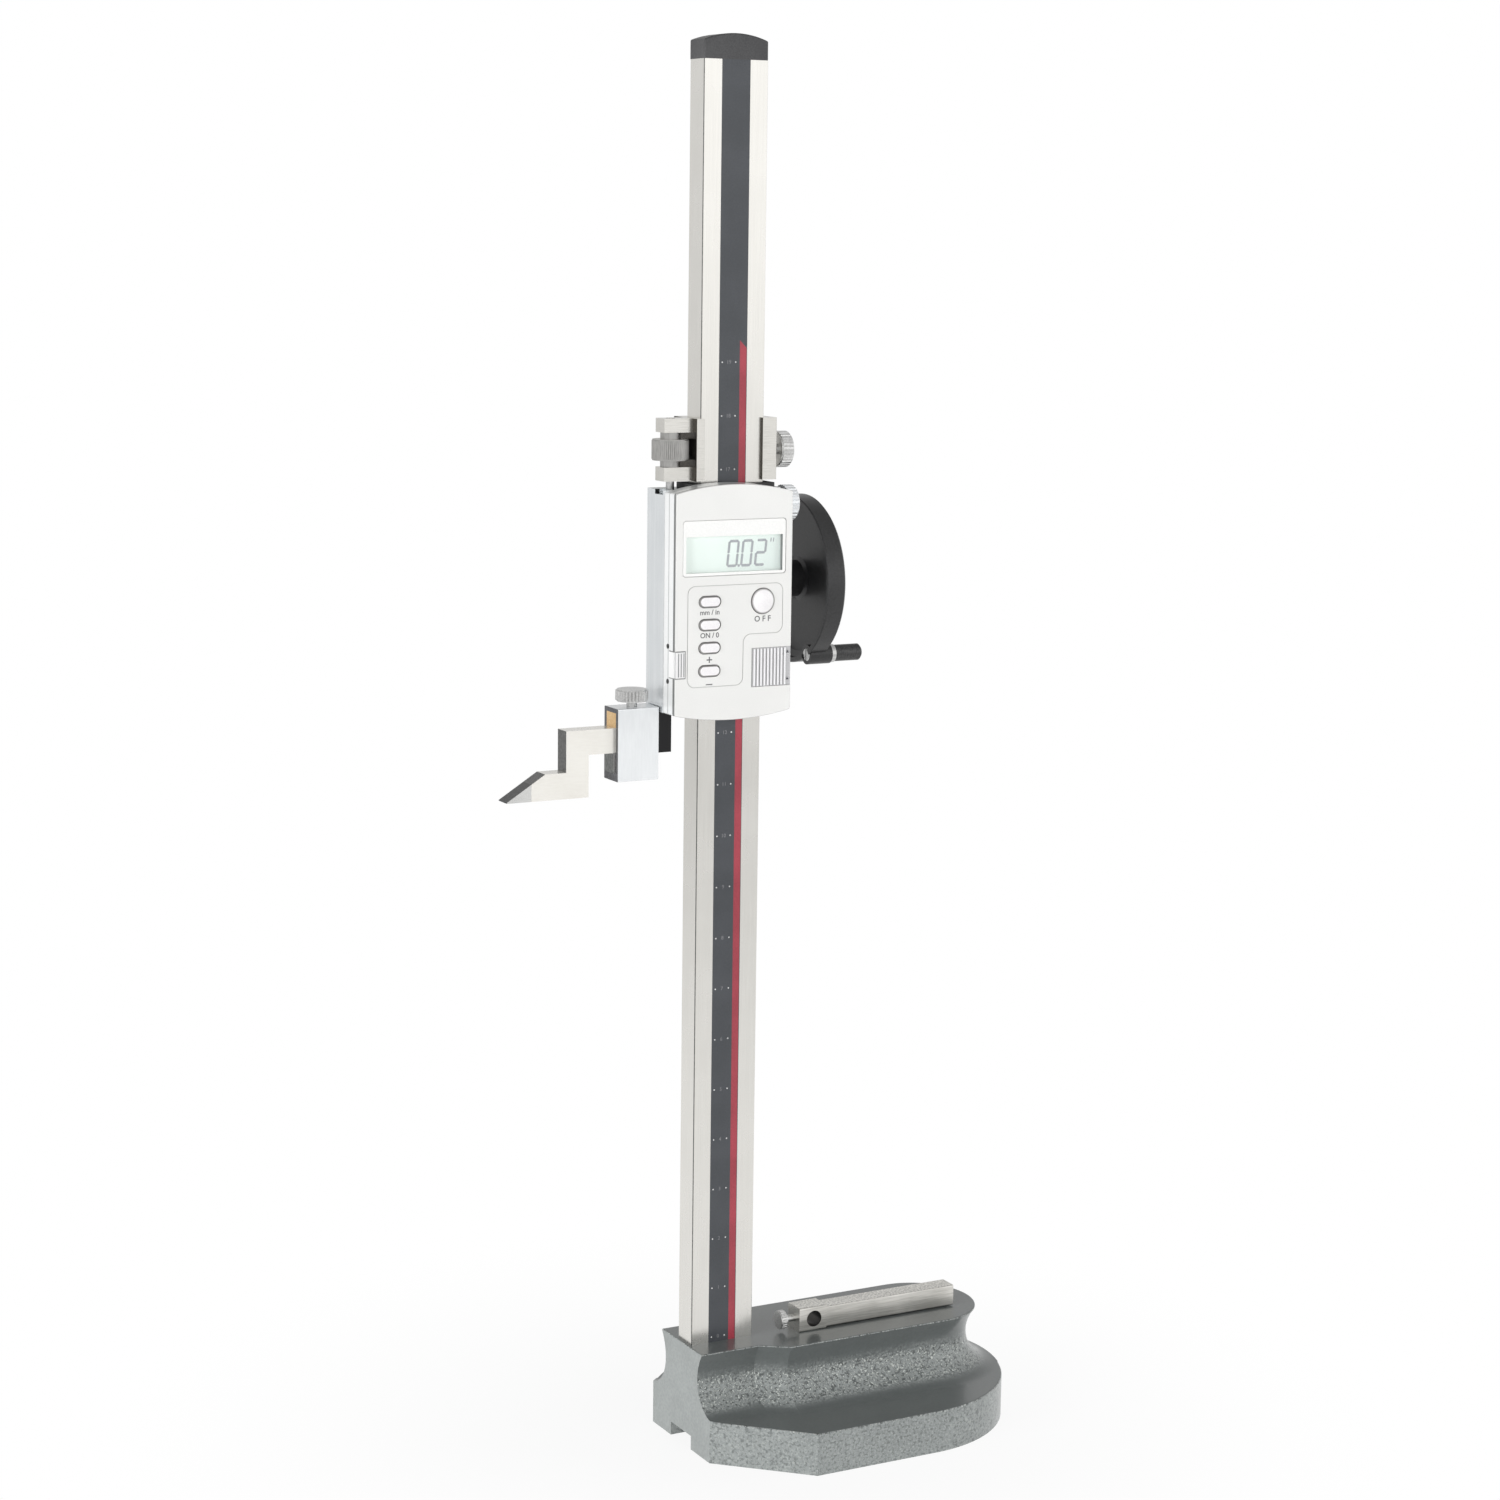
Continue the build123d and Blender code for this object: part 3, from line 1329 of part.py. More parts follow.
save(measuring_jaw, "measuring_jaw")

tip_x = beam_x - scriber_reach
tip_joint = tip_x + tip_length


def bevel_z(x):
    """Height of the bevel above the edge at a place along the foot."""
    return foot_bottom + edge_land + (scriber_foot - edge_land) * (x - tip_x) / bevel_length


with BuildPart() as scriber:
    with BuildSketch(front_plane(scriber_depth / 2)):
        with BuildLine():
            Polyline(
                (tip_joint, foot_bottom),
                (tip_joint, bevel_z(tip_joint)),
                (tip_x + bevel_length, foot_top),
                (beam_x - leg_left, foot_top),
                (beam_x - leg_left, shank_top),
                (beam_x - shank_right, shank_top),
                (beam_x - shank_right, shank_bottom),
                (beam_x - leg_right, shank_bottom),
                (beam_x - leg_right, foot_bottom),
                close=True,
            )
        make_face()
    extrude(amount=scriber_depth)
save(scriber, "scriber")

# hard metal edge brazed to the scriber
with BuildPart() as carbide_tip:
    with BuildSketch(front_plane(scriber_depth / 2)):
        with BuildLine():
            Polyline(
                (tip_x, foot_bottom),
                (tip_joint - seat_gap, foot_bottom),
                (tip_joint - seat_gap, bevel_z(tip_joint - seat_gap)),
                (tip_x, foot_bottom + edge_land),
                close=True,
            )
        make_face()
    extrude(amount=scriber_depth)
save(carbide_tip, "carbide_tip")

with BuildPart() as scriber_clamp:
    with BuildSketch(side_plane(beam_x - clamp_left)):
        with Locations((0, (box_bottom + box_top) / 2)):
            RectangleRounded(clamp_depth, clamp_height, 0.6)
        with Locations((0, (box_floor + box_ceiling) / 2)):
            Rectangle(clamp_depth - 2 * clamp_wall, box_ceiling - box_floor, mode=Mode.SUBTRACT)
    extrude(amount=clamp_left - clamp_right)
    with Locations((clamp_x, 0, box_top)):
        Hole(clamp_stem_radius + shaft_gap, clamp_roof + 1)
save(scriber_clamp, "scriber_clamp")

pad_bottom = shank_top + seat_gap
pad_top = box_ceiling - seat_gap
pad_right = jaw_riser_left + 0.4
with BuildPart() as clamp_pad:
    with BuildSketch(Plane.XY.offset(pad_bottom)):
        with Locations((beam_x - (clamp_left + pad_right) / 2, 0)):
            Rectangle(clamp_left - pad_right, clamp_depth - 2 * clamp_wall - 2 * slide_gap)
    extrude(amount=pad_top - pad_bottom)
save(clamp_pad, "clamp_pad")

head_bottom = box_top + clamp_head_gap
with BuildPart() as clamp_screw:
    with BuildSketch(Plane.XY.offset(pad_top + seat_gap)):
        with Locations((clamp_x, 0)):
            Circle(clamp_stem_radius)
    extrude(amount=head_bottom - pad_top)
    head_plane = Plane((clamp_x, 0, head_bottom))
    add(knurled_knob(head_plane, clamp_head_radius, clamp_head_height, knurl_count, knurl_depth))
save(clamp_screw, "clamp_screw")

# loose indicator holder on the base
head_right = holder_left + head_length
bore_x = beam_x + holder_left + head_length * 0.54
bore_z = base_height + head_height * 0.5

with BuildPart() as indicator_holder:
    with BuildSketch(side_plane(beam_x + holder_left)):
        with Locations((holder_y, base_height + head_height / 2)):
            RectangleRounded(head_depth, head_height, 0.8)
    extrude(amount=head_length)
    with BuildSketch(side_plane(beam_x + head_right)):
        with Locations((holder_y, base_height + bar_lift + bar_size / 2)):
            RectangleRounded(bar_size, bar_size, 0.6)
    extrude(amount=bar_length)
    with BuildSketch(front_plane(holder_y + head_depth)):
        with Locations((bore_x, bore_z)):
            Circle(stem_bore_radius)
    extrude(amount=2 * head_depth, mode=Mode.SUBTRACT)
    holder_end = Plane(origin=(beam_x + holder_left, holder_y, bore_z), x_dir=(0, -1, 0), z_dir=(-1, 0, 0))
    with Locations(holder_end.location):
        Hole(holder_stem_radius + shaft_gap, head_length * 0.54)
save(indicator_holder, "indicator_holder")

with BuildPart() as holder_screw:
    with BuildSketch(holder_end):
        Circle(holder_stem_radius)
    extrude(amount=holder_neck)
    with BuildSketch(holder_end):
        Circle(holder_stem_radius)
    extrude(amount=-(head_length * 0.54 - stem_bore_radius))
    knob_plane = holder_end.offset(holder_neck)
    add(knurled_knob(knob_plane, holder_screw_radius, holder_screw_width, holder_knurls, holder_knurl_depth))
save(holder_screw, "holder_screw")
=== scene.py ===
from math import cos, radians

import bpy
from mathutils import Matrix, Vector


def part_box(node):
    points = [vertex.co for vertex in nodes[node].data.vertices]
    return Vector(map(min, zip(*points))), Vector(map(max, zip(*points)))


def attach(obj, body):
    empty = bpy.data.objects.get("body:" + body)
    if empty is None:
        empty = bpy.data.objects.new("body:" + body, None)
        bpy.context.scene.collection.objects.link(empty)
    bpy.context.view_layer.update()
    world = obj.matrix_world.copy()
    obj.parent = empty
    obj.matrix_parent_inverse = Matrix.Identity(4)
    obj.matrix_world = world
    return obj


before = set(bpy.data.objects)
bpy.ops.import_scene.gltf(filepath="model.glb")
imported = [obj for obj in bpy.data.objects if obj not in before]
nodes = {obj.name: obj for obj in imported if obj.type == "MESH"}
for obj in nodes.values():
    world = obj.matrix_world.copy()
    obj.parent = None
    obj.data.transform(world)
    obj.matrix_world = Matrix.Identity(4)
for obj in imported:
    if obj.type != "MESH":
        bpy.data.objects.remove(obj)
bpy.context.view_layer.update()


class Wire:  # one socket of a material, so that shader maths reads as sums
    def __init__(self, tree, socket):
        self.tree = tree
        self.socket = socket

    def plug(self, target, value):
        if isinstance(value, Wire):
            self.tree.links.new(value.socket, target)
        else:
            target.default_value = value

    def node(self, kind, inputs=None, output=0, **settings):  # any node: its settings, then its sockets
        made = self.tree.nodes.new("ShaderNode" + kind)
        for name, value in settings.items():
            setattr(made, name, value)
        for key, value in (inputs or {}).items():
            self.plug(made.inputs[key], value)
        return Wire(self.tree, made.outputs[output])

    def math(self, operation, first, second=0.0):
        return self.node("Math", {0: first, 1: second}, operation=operation)

    def __add__(self, other):
        return self.math("ADD", self, other)

    def __radd__(self, other):
        return self.math("ADD", other, self)

    def __sub__(self, other):
        return self.math("SUBTRACT", self, other)

    def __rsub__(self, other):
        return self.math("SUBTRACT", other, self)

    def __mul__(self, other):
        return self.math("MULTIPLY", self, other)

    def __rmul__(self, other):
        return self.math("MULTIPLY", other, self)

    def step(self, low, high):  # 0 below low, 1 above high, smooth between
        return self.node("MapRange", {0: self, 1: low, 2: high}, interpolation_type="SMOOTHSTEP")

    def along(self, axis):  # how far a vector goes along that axis
        return self.node("VectorMath", {0: self, 1: axis}, "Value", operation="DOT_PRODUCT")

    def tint(self, first, second):  # from one colour to the other as this goes from 0 to 1
        ends = [end if isinstance(end, Wire) else (*end, 1) for end in (first, second)]
        return self.node("Mix", {0: self, 6: ends[0], 7: ends[1]}, 2, data_type="RGBA")


def newFinish(name, constants):  # a material, its shader, and the place and facing on the piece
    material = bpy.data.materials.new(name)
    material.use_nodes = True
    tree = material.node_tree
    shader = tree.nodes["Principled BSDF"]
    for key, value in constants.items():
        shader.inputs[key].default_value = value
    spots = tree.nodes.new("ShaderNodeTexCoord")
    return material, shader, Wire(tree, spots.outputs["Object"]), Wire(tree, spots.outputs["Normal"])


def feed(shader, key, wire):
    wire.plug(shader.inputs[key], wire)


def relief(shader, wire, height):  # height in metres
    feed(shader, "Normal", wire.node("Bump", {"Distance": height, "Height": wire}))


def grain(place, size, stretch=(1, 1, 1), detail=3.0):  # noise of about that size in metres
    scaled = place.node("Mapping", {"Vector": place, "Scale": stretch})
    return scaled.node("TexNoise", {"Vector": scaled, "Scale": 1 / size, "Detail": detail})


def between(wire, low, high, soft):  # 1 from low to high, fading over soft
    return wire.step(low - soft, low) * (1 - wire.step(high, high + soft))


# steel: ground or plated, streaked along one way, with painted shade on the faces turned one way (a painted lighter
# top on the knurled nut), and painted shade in a notch or a bore where a part has them
steelLooks = {
    "beamSteel": {
        "dark": (0.79, 0.775, 0.735), "light": (0.84, 0.825, 0.785), "streak": 0.0005, "along": (1, 1, 0.012),
        "rough": 0.27, "spread": 0.05, "bump": 0.0000008, "anisotropic": 0.3,
        "shade": {"way": (-0.7071, -0.7071, 0), "from": 0.80, "to": 0.90, "color": (0.13, 0.13, 0.125)},
    },
    "carriageSteel": {
        "dark": (0.68, 0.665, 0.625), "light": (0.80, 0.785, 0.745), "streak": 0.0005, "along": (0.05, 1, 1),
        "rough": 0.26, "spread": 0.06, "bump": 0.000001, "anisotropic": 0.2,
        "shade": {
            "way": (-1, 0, 0), "from": 0.5, "to": 0.8, "color": (0.045, 0.04, 0.033), "span": (-0.0462, 0.02),
        },
    },
    "jawSteel": {
        "dark": (0.60, 0.595, 0.58), "light": (0.76, 0.75, 0.73), "streak": 0.0006, "along": (0.1, 1, 1),
        "rough": 0.30, "spread": 0.1, "bump": 0.000003, "anisotropic": 0.2,
        "shade": {"way": (-1, 0, 0), "from": 0.4, "to": 0.8, "color": (0.15, 0.155, 0.15)},
        "root": {"from": -0.0602, "to": -0.0598, "color": (0.035, 0.035, 0.036)},
    },
    "scriberSteel": {
        "dark": (0.88, 0.855, 0.80), "light": (0.94, 0.92, 0.87), "streak": 0.0006, "along": (0.1, 1, 1),
        "rough": 0.24, "spread": 0.06, "bump": 0.000002, "anisotropic": 0.2, "metallic": 0.6,
        "shade": {"way": (-1, 0, 0), "from": 0.3, "to": 0.5, "color": (0.075, 0.075, 0.073)},
    },
    "carbideGround": {
        "dark": (0.68, 0.68, 0.67), "light": (0.80, 0.80, 0.78), "streak": 0.0004, "along": (0.1, 1, 1),
        "rough": 0.26, "spread": 0.08, "bump": 0.000003, "anisotropic": 0.2, "metallic": 0.8,
        "shade": {"way": (-1, 0, 0), "from": 0.3, "to": 0.5, "color": (0.05, 0.05, 0.05)},
    },
    "clampChrome": {
        "dark": (0.83, 0.85, 0.865), "light": (0.89, 0.91, 0.925), "streak": 0.0008, "along": (1, 1, 0.1),
        "rough": 0.22, "spread": 0.04, "bump": 0.000001, "anisotropic": 0.0, "metallic": 0.55,
        "shade": {"way": (-1, 0, 0), "from": 0.5, "to": 0.8, "color": (0.07, 0.07, 0.075)},
    },
    "sliderChrome": {
        "dark": (0.78, 0.81, 0.83), "light": (0.86, 0.885, 0.90), "streak": 0.0016, "along": (1, 1, 0.02),
        "rough": 0.24, "spread": 0.04, "bump": 0.000001, "anisotropic": 0.1, "metallic": 0.85,
        "shade": {"way": (0, 0, 1), "from": 0.7, "to": 0.9, "color": (0.14, 0.155, 0.15)},
        "notchShade": {
            "low": (-0.0582, -0.0084, 0.4739), "high": (-0.0560, 0.0, 0.4781), "color": (0.03, 0.032, 0.031),
        },
    },
    "knurledSteel": {
        "dark": (0.36, 0.355, 0.345), "light": (0.54, 0.535, 0.52), "streak": 0.0004, "along": (1, 1, 0.1),
        "rough": 0.46, "spread": 0.08, "bump": 0.000002, "anisotropic": 0.0,
        "shade": {"way": (0, 0, 1), "from": 0.7, "to": 0.9, "color": (0.50, 0.49, 0.47)},
    },
    "knobChrome": {
        "dark": (0.52, 0.52, 0.515), "light": (0.80, 0.80, 0.79), "streak": 0.0008, "along": (1, 1, 1),
        "rough": 0.34, "spread": 0.08, "bump": 0.000002, "anisotropic": 0.0,
    },
    "holderSteel": {
        "dark": (0.52, 0.51, 0.475), "light": (0.82, 0.805, 0.76), "streak": 0.0005, "along": (0.03, 1, 1),
        "rough": 0.30, "spread": 0.08, "bump": 0.000002, "anisotropic": 0.3,
        "shade": {"way": (0, 0, 1), "from": 0.7, "to": 0.9, "color": (0.50, 0.49, 0.46)},
        "boreShade": {"spot": (0.02757, 0, 0.05870), "radius": 0.0041, "color": (0.05, 0.048, 0.045)},
    },
    "plainSteel": {
        "dark": (0.48, 0.48, 0.48), "light": (0.68, 0.68, 0.67), "streak": 0.0005, "along": (0.1, 1, 1),
        "rough": 0.30, "spread": 0.12, "bump": 0.000006, "anisotropic": 0.0,
    },
    "blackenedSteel": {
        "dark": (0.045, 0.045, 0.047), "light": (0.11, 0.11, 0.11), "streak": 0.0006, "along": (1, 1, 0.3),
        "rough": 0.36, "spread": 0.14, "bump": 0.000008, "anisotropic": 0.0,
    },
    "brassGround": {
        "dark": (0.66, 0.42, 0.18), "light": (0.88, 0.64, 0.36), "streak": 0.0006, "along": (0.1, 1, 1),
        "rough": 0.32, "spread": 0.12, "bump": 0.000004, "anisotropic": 0.1, "metallic": 0.7,
    },
}


steelGrain = {"cloud": 0.02, "mark": 0.0011, "detail": 4, "streakShare": 0.55, "cloudShare": 0.45, "markLift": 1.7}


def steelFinish(name, look):
    constants = {"Metallic": look.get("metallic", 1.0), "Anisotropic": look["anisotropic"]}
    material, shader, place, facing = newFinish(name, constants)
    streaks = grain(place, look["streak"], look["along"], steelGrain["detail"])
    clouds = grain(place, steelGrain["cloud"])
    marks = grain(place, steelGrain["mark"], detail=steelGrain["detail"])
    mixed = streaks * steelGrain["streakShare"] + clouds * steelGrain["cloudShare"]
    color = mixed.step(0.32, 0.68).tint(look["dark"], look["light"])
    if "shade" in look:
        shade = look["shade"]
        # painted shade on the faces turned that way (a painted lighter top on the knurled nut), varied by fine marks
        turned = facing.along(shade["way"]).step(shade["from"], shade["to"])
        if "span" in shade:  # only between these two places along X
            turned = turned * between(place.along((1, 0, 0)), *shade["span"], 0.0002)
        lighter = [part * steelGrain["markLift"] for part in shade["color"]]
        color = turned.tint(color, marks.step(0.35, 0.65).tint(shade["color"], lighter))
    if "notchShade" in look:  # painted shade inside a notch cut into its edge
        notchShade = look["notchShade"]
        hidden = 1.0
        for axis, start, end in zip(((1, 0, 0), (0, 1, 0), (0, 0, 1)), notchShade["low"], notchShade["high"]):
            hidden = between(place.along(axis), start, end, 0.00005) * hidden
        color = hidden.tint(color, notchShade["color"])
    if "root" in look:  # blackened beyond that place along X
        root = look["root"]
        color = place.along((1, 0, 0)).step(root["from"], root["to"]).tint(color, root["color"])
    if "boreShade" in look:  # painted shade inside a hole that runs along Y
        boreShade = look["boreShade"]
        flat = place.node("VectorMath", {0: place, 1: (1, 0, 1)}, operation="MULTIPLY")
        away = flat.node("VectorMath", {0: flat, 1: boreShade["spot"]}, "Value", operation="DISTANCE")
        within = 1 - away.step(boreShade["radius"], boreShade["radius"] + 0.0001)
        color = within.tint(color, boreShade["color"])
    feed(shader, "Base Color", color)
    feed(shader, "Roughness", clouds * look["spread"] + (look["rough"] - look["spread"] / 2))
    relief(shader, streaks, look["bump"])
    return material


# painted, moulded and printed finishes
paintLooks = {
    "wheelBakelite": {
        "dark": (0.008, 0.008, 0.0085), "light": (0.020, 0.020, 0.021),
        "grain": 0.0008, "coat": 0.12, "rough": 0.40, "bump": 0.00002,
    },
    "capPlastic": {
        "dark": (0.035, 0.035, 0.037), "light": (0.060, 0.060, 0.062),
        "grain": 0.0006, "coat": 0.05, "rough": 0.5, "bump": 0.00002,
    },
    "tapeBlack": {
        "dark": (0.036, 0.040, 0.046), "light": (0.050, 0.054, 0.062),
        "grain": 0.0005, "coat": 0.2, "rough": 0.38, "bump": 0.000003,
    },
    "stripeRed": {
        "dark": (0.25, 0.025, 0.040), "light": (0.36, 0.040, 0.062),
        "grain": 0.0005, "coat": 0.2, "rough": 0.36, "bump": 0.000003,
    },
    "rubberBlack": {
        "dark": (0.02, 0.02, 0.02), "light": (0.05, 0.05, 0.05),
        "grain": 0.0006, "coat": 0.0, "rough": 0.75, "bump": 0.00003,
    },
    "boardGreen": {
        "dark": (0.02, 0.09, 0.05), "light": (0.04, 0.16, 0.08),
        "grain": 0.0006, "coat": 0.5, "rough": 0.35, "bump": 0.00001,
    },
    "matGrey": {
        "dark": (0.10, 0.10, 0.11), "light": (0.16, 0.16, 0.17),
        "grain": 0.0006, "coat": 0.0, "rough": 0.7, "bump": 0.00002,
    },
    "markWhite": {
        "dark": (0.50, 0.50, 0.50), "light": (0.72, 0.72, 0.72),
        "grain": 0.0004, "coat": 0.0, "rough": 0.5, "bump": 0.000002,
    },
    "markGrey": {
        "dark": (0.15, 0.15, 0.16), "light": (0.22, 0.22, 0.23),
        "grain": 0.0004, "coat": 0.0, "rough": 0.5, "bump": 0.000002,
    },
    "labelGrey": {
        "dark": (0.10, 0.10, 0.105), "light": (0.16, 0.16, 0.165),
        "grain": 0.0004, "coat": 0.0, "rough": 0.5, "bump": 0.000002,
    },
    "digitGrey": {
        "dark": (0.30, 0.32, 0.34), "light": (0.38, 0.40, 0.42),
        "grain": 0.0008, "coat": 0.0, "rough": 0.4, "bump": 0.000002,
    },
    # painted shade of the door dimples
    "dimpleShade": {
        "dark": (0.05, 0.05, 0.06), "light": (0.11, 0.11, 0.12),
        "grain": 0.0003, "coat": 0.0, "rough": 0.5, "bump": 0.000004,
    },
}


def paintFinish(name, look):
    material, shader, place, facing = newFinish(name, {"Coat Weight": look["coat"], "Coat Roughness": 0.12})
    fine = grain(place, look["grain"], detail=2)
    clouds = grain(place, 0.02)
    mixed = (fine * 0.5 + clouds * 0.5).step(0.35, 0.65)
    feed(shader, "Base Color", mixed.tint(look["dark"], look["light"]))
    feed(shader, "Roughness", clouds * 0.12 + (look["rough"] - 0.06))
    relief(shader, fine, look["bump"])
    return material


# silver paint of the display housing, with painted shade in its grooves and along its seams
silverLooks = {
    "panelSilver": {
        "node": "front_panel", "light": (0.79, 0.79, 0.775), "dark": (0.73, 0.73, 0.715),
        "grooveShade": (0.52, 0.52, 0.51), "depth": 0.00006, "seamShade": (0.17, 0.175, 0.175), "metallic": 0.15, "rough": 0.36,
    },
    "traySilver": {
        "node": "housing_tray", "light": (0.80, 0.81, 0.81), "dark": (0.72, 0.73, 0.73),
        "grooveShade": (0.17, 0.175, 0.175), "depth": -0.0001, "lines": (-0.0155, -0.0106), "lineWidth": 0.0006,
        "lineColor": (0.44, 0.45, 0.45), "metallic": 0.3, "rough": 0.34,
    },
    "doorSilver": {
        "node": "battery_door", "light": (0.86, 0.86, 0.87), "dark": (0.78, 0.78, 0.79),
        "grooveShade": (0.50, 0.50, 0.51), "depth": 0.00012, "outline": 0.00035, "inner": "left", "metallic": 0.15,
        "rough": 0.36,
    },
    "portSilver": {
        "node": "port_cover", "light": (0.80, 0.80, 0.80), "dark": (0.73, 0.73, 0.73),
        "grooveShade": (0.34, 0.34, 0.35), "depth": 0.00008, "outline": 0.00035, "inner": "right", "metallic": 0.15,
        "rough": 0.36,
    },
}
silverShared = {
    "outlineColor": (0.20, 0.205, 0.205), "fine": 0.00045, "cloud": 0.03, "soft": 0.00008, "bump": 0.0000015,
}


def silverFinish(name, look):
    constants = {"Metallic": look["metallic"], "Coat Weight": 0.3, "Coat Roughness": 0.1}
    material, shader, place, facing = newFinish(name, constants)
    low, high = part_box(look["node"])
    fine = grain(place, silverShared["fine"], detail=2)
    clouds = grain(place, silverShared["cloud"])
    deep = place.along((0, 1, 0))
    paint = (fine * 0.6 + clouds * 0.4).step(0.3, 0.7).tint(look["dark"], look["light"])
    # painted shade in its sunk grooves, and on the tray along its front seam
    sunk = between(deep, low.y + look["depth"], low.y + 0.0008, 0.00003)
    color = sunk.tint(paint, look["grooveShade"])
    for line in look.get("lines", ()):  # fine lines along its sides
        color = between(deep, line, line + look["lineWidth"], 0.0002).tint(color, look["lineColor"])
    if "seamShade" in look:  # painted shade on its upright left edge
        edge = facing.along((-1, 0, 0)).step(0.6, 0.9) * deep.step(low.y + 0.0003, low.y + 0.0004)
        color = edge.tint(color, look["seamShade"])
    if "outline" in look:  # painted shade of the gap round its lower, upper and inner edges
        gap, soft = look["outline"], silverShared["soft"]
        inside = between(place.along((0, 0, 1)), low.z + gap, high.z - gap, soft)
        across = place.along((1, 0, 0))
        if look["inner"] == "left":
            inside = inside * across.step(low.x + gap - soft, low.x + gap)
        else:
            inside = inside * (1 - across.step(high.x - gap, high.x - gap + soft))
        color = inside.tint(silverShared["outlineColor"], color)
    feed(shader, "Base Color", color)
    feed(shader, "Roughness", fine * 0.06 + (look["rough"] - 0.03))
    relief(shader, fine, silverShared["bump"])
    return material


# keys: bright domes with painted shade on the turned rim; on the round one the painted shade also spreads in towards
# its edge
keyLook = {
    "light": (0.86, 0.845, 0.85), "dark": (0.80, 0.785, 0.80), "rim": (0.24, 0.235, 0.23), "rimFrom": 0.86,
    "rimTo": 0.95,
}
keyLooks = {"keySilver": keyLook, "powerSilver": {**keyLook, "edge": 0.001, "ring": 0.0011}}


def keyFinish(name, look):
    constants = {"Metallic": 0.2, "Coat Weight": 0.2, "Coat Roughness": 0.2}
    material, shader, place, facing = newFinish(name, constants)
    fine = grain(place, 0.0006, detail=2)
    # painted shade where the key's face turns away from the front
    flat = facing.along((0, -1, 0)).step(look["rimFrom"], look["rimTo"])
    # painted shade spreading in towards the round key's edge
    if "ring" in look:
        low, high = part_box("power_key")
        radius = (high.x - low.x) / 2 - look["edge"]
        level = place.node("VectorMath", {0: place, 1: (1, 0, 1)}, operation="MULTIPLY")
        middle = ((low.x + high.x) / 2, 0, (low.z + high.z) / 2)
        away = level.node("VectorMath", {0: level, 1: middle}, "Value", operation="DISTANCE")
        flat = flat * (1 - away.step(radius - look["ring"], radius))
    feed(shader, "Base Color", flat.tint(look["rim"], fine.step(0.3, 0.7).tint(look["dark"], look["light"])))
    feed(shader, "Roughness", fine * 0.06 + 0.32)
    relief(shader, fine, 0.0000005)
    return material


# white window frame, with a fine line of painted shade round its outer edge and inside its opening
bezelLook = {
    "light": (0.86, 0.86, 0.845), "dark": (0.81, 0.81, 0.80), "line": (0.12, 0.13, 0.13), "lineWidth": 0.00045,
    "soft": 0.00008,
}


def bezelFinish(name, look):
    material, shader, place, facing = newFinish(name, {"Coat Weight": 0.3, "Coat Roughness": 0.1})
    low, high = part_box("window_bezel")
    across = place.along((1, 0, 0))
    up = place.along((0, 0, 1))
    inside = between(across, low.x + look["lineWidth"], high.x - look["lineWidth"], look["soft"])
    inside = inside * between(up, low.z + look["lineWidth"], high.z - look["lineWidth"], look["soft"])
    # painted shade on the opening's inner wall that faces left
    shadedWall = facing.along((-1, 0, 0)).step(0.5, 0.9) * across.step(low.x + 0.01, low.x + 0.012)
    fine = grain(place, 0.0006, detail=2)
    color = inside.tint(look["line"], fine.step(0.3, 0.7).tint(look["dark"], look["light"]))
    feed(shader, "Base Color", shadedWall.tint(color, look["line"]))
    feed(shader, "Roughness", fine * 0.08 + 0.26)
    relief(shader, fine, 0.000002)
    return material


# display glass back: pale grey green, a little darker to the right
screenLook = {"light": (0.83, 0.92, 0.87), "dark": (0.74, 0.82, 0.79)}


def screenFinish(name, look):
    material, shader, place, facing = newFinish(name, {})
    low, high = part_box("lcd_panel")
    fade = place.along((1, 0, 0)).step(low.x, high.x)
    feed(shader, "Base Color", (fade * 0.7 + grain(place, 0.004) * 0.3).tint(look["light"], look["dark"]))
    feed(shader, "Roughness", grain(place, 0.002) * 0.06 + 0.28)
    return material


# clear cover of the display
lensLook = {"alpha": 0.06, "color": (0.95, 0.97, 0.96), "index": 1.49}


def lensFinish(name, look):
    material, shader, place, facing = newFinish(name, {"IOR": look["index"], "Base Color": (*look["color"], 1)})
    feed(shader, "Roughness", grain(place, 0.01) * 0.04 + 0.02)
    feed(shader, "Alpha", grain(place, 0.02) * 0.04 + look["alpha"])
    return material


# hammer enamel of the base: flecked where the casting turns upwards, smoother on its machined faces; the bright
# flecks on upturned curves are partly painted glints, and there is painted shade under its rim and on flat tops
castingLook = {
    "dark": (0.21, 0.227, 0.223), "light": (0.275, 0.295, 0.29), "deep": (0.085, 0.095, 0.094),
    "fleckAndGlint": (0.58, 0.61, 0.58), "pit": (0.035, 0.042, 0.042), "cell": 0.0014, "fleckSize": 0.0010,
    "rimLow": 0.028, "rimHigh": 0.036, "rough": 0.30, "bump": 0.00045, "smoothBump": 0.04,
}


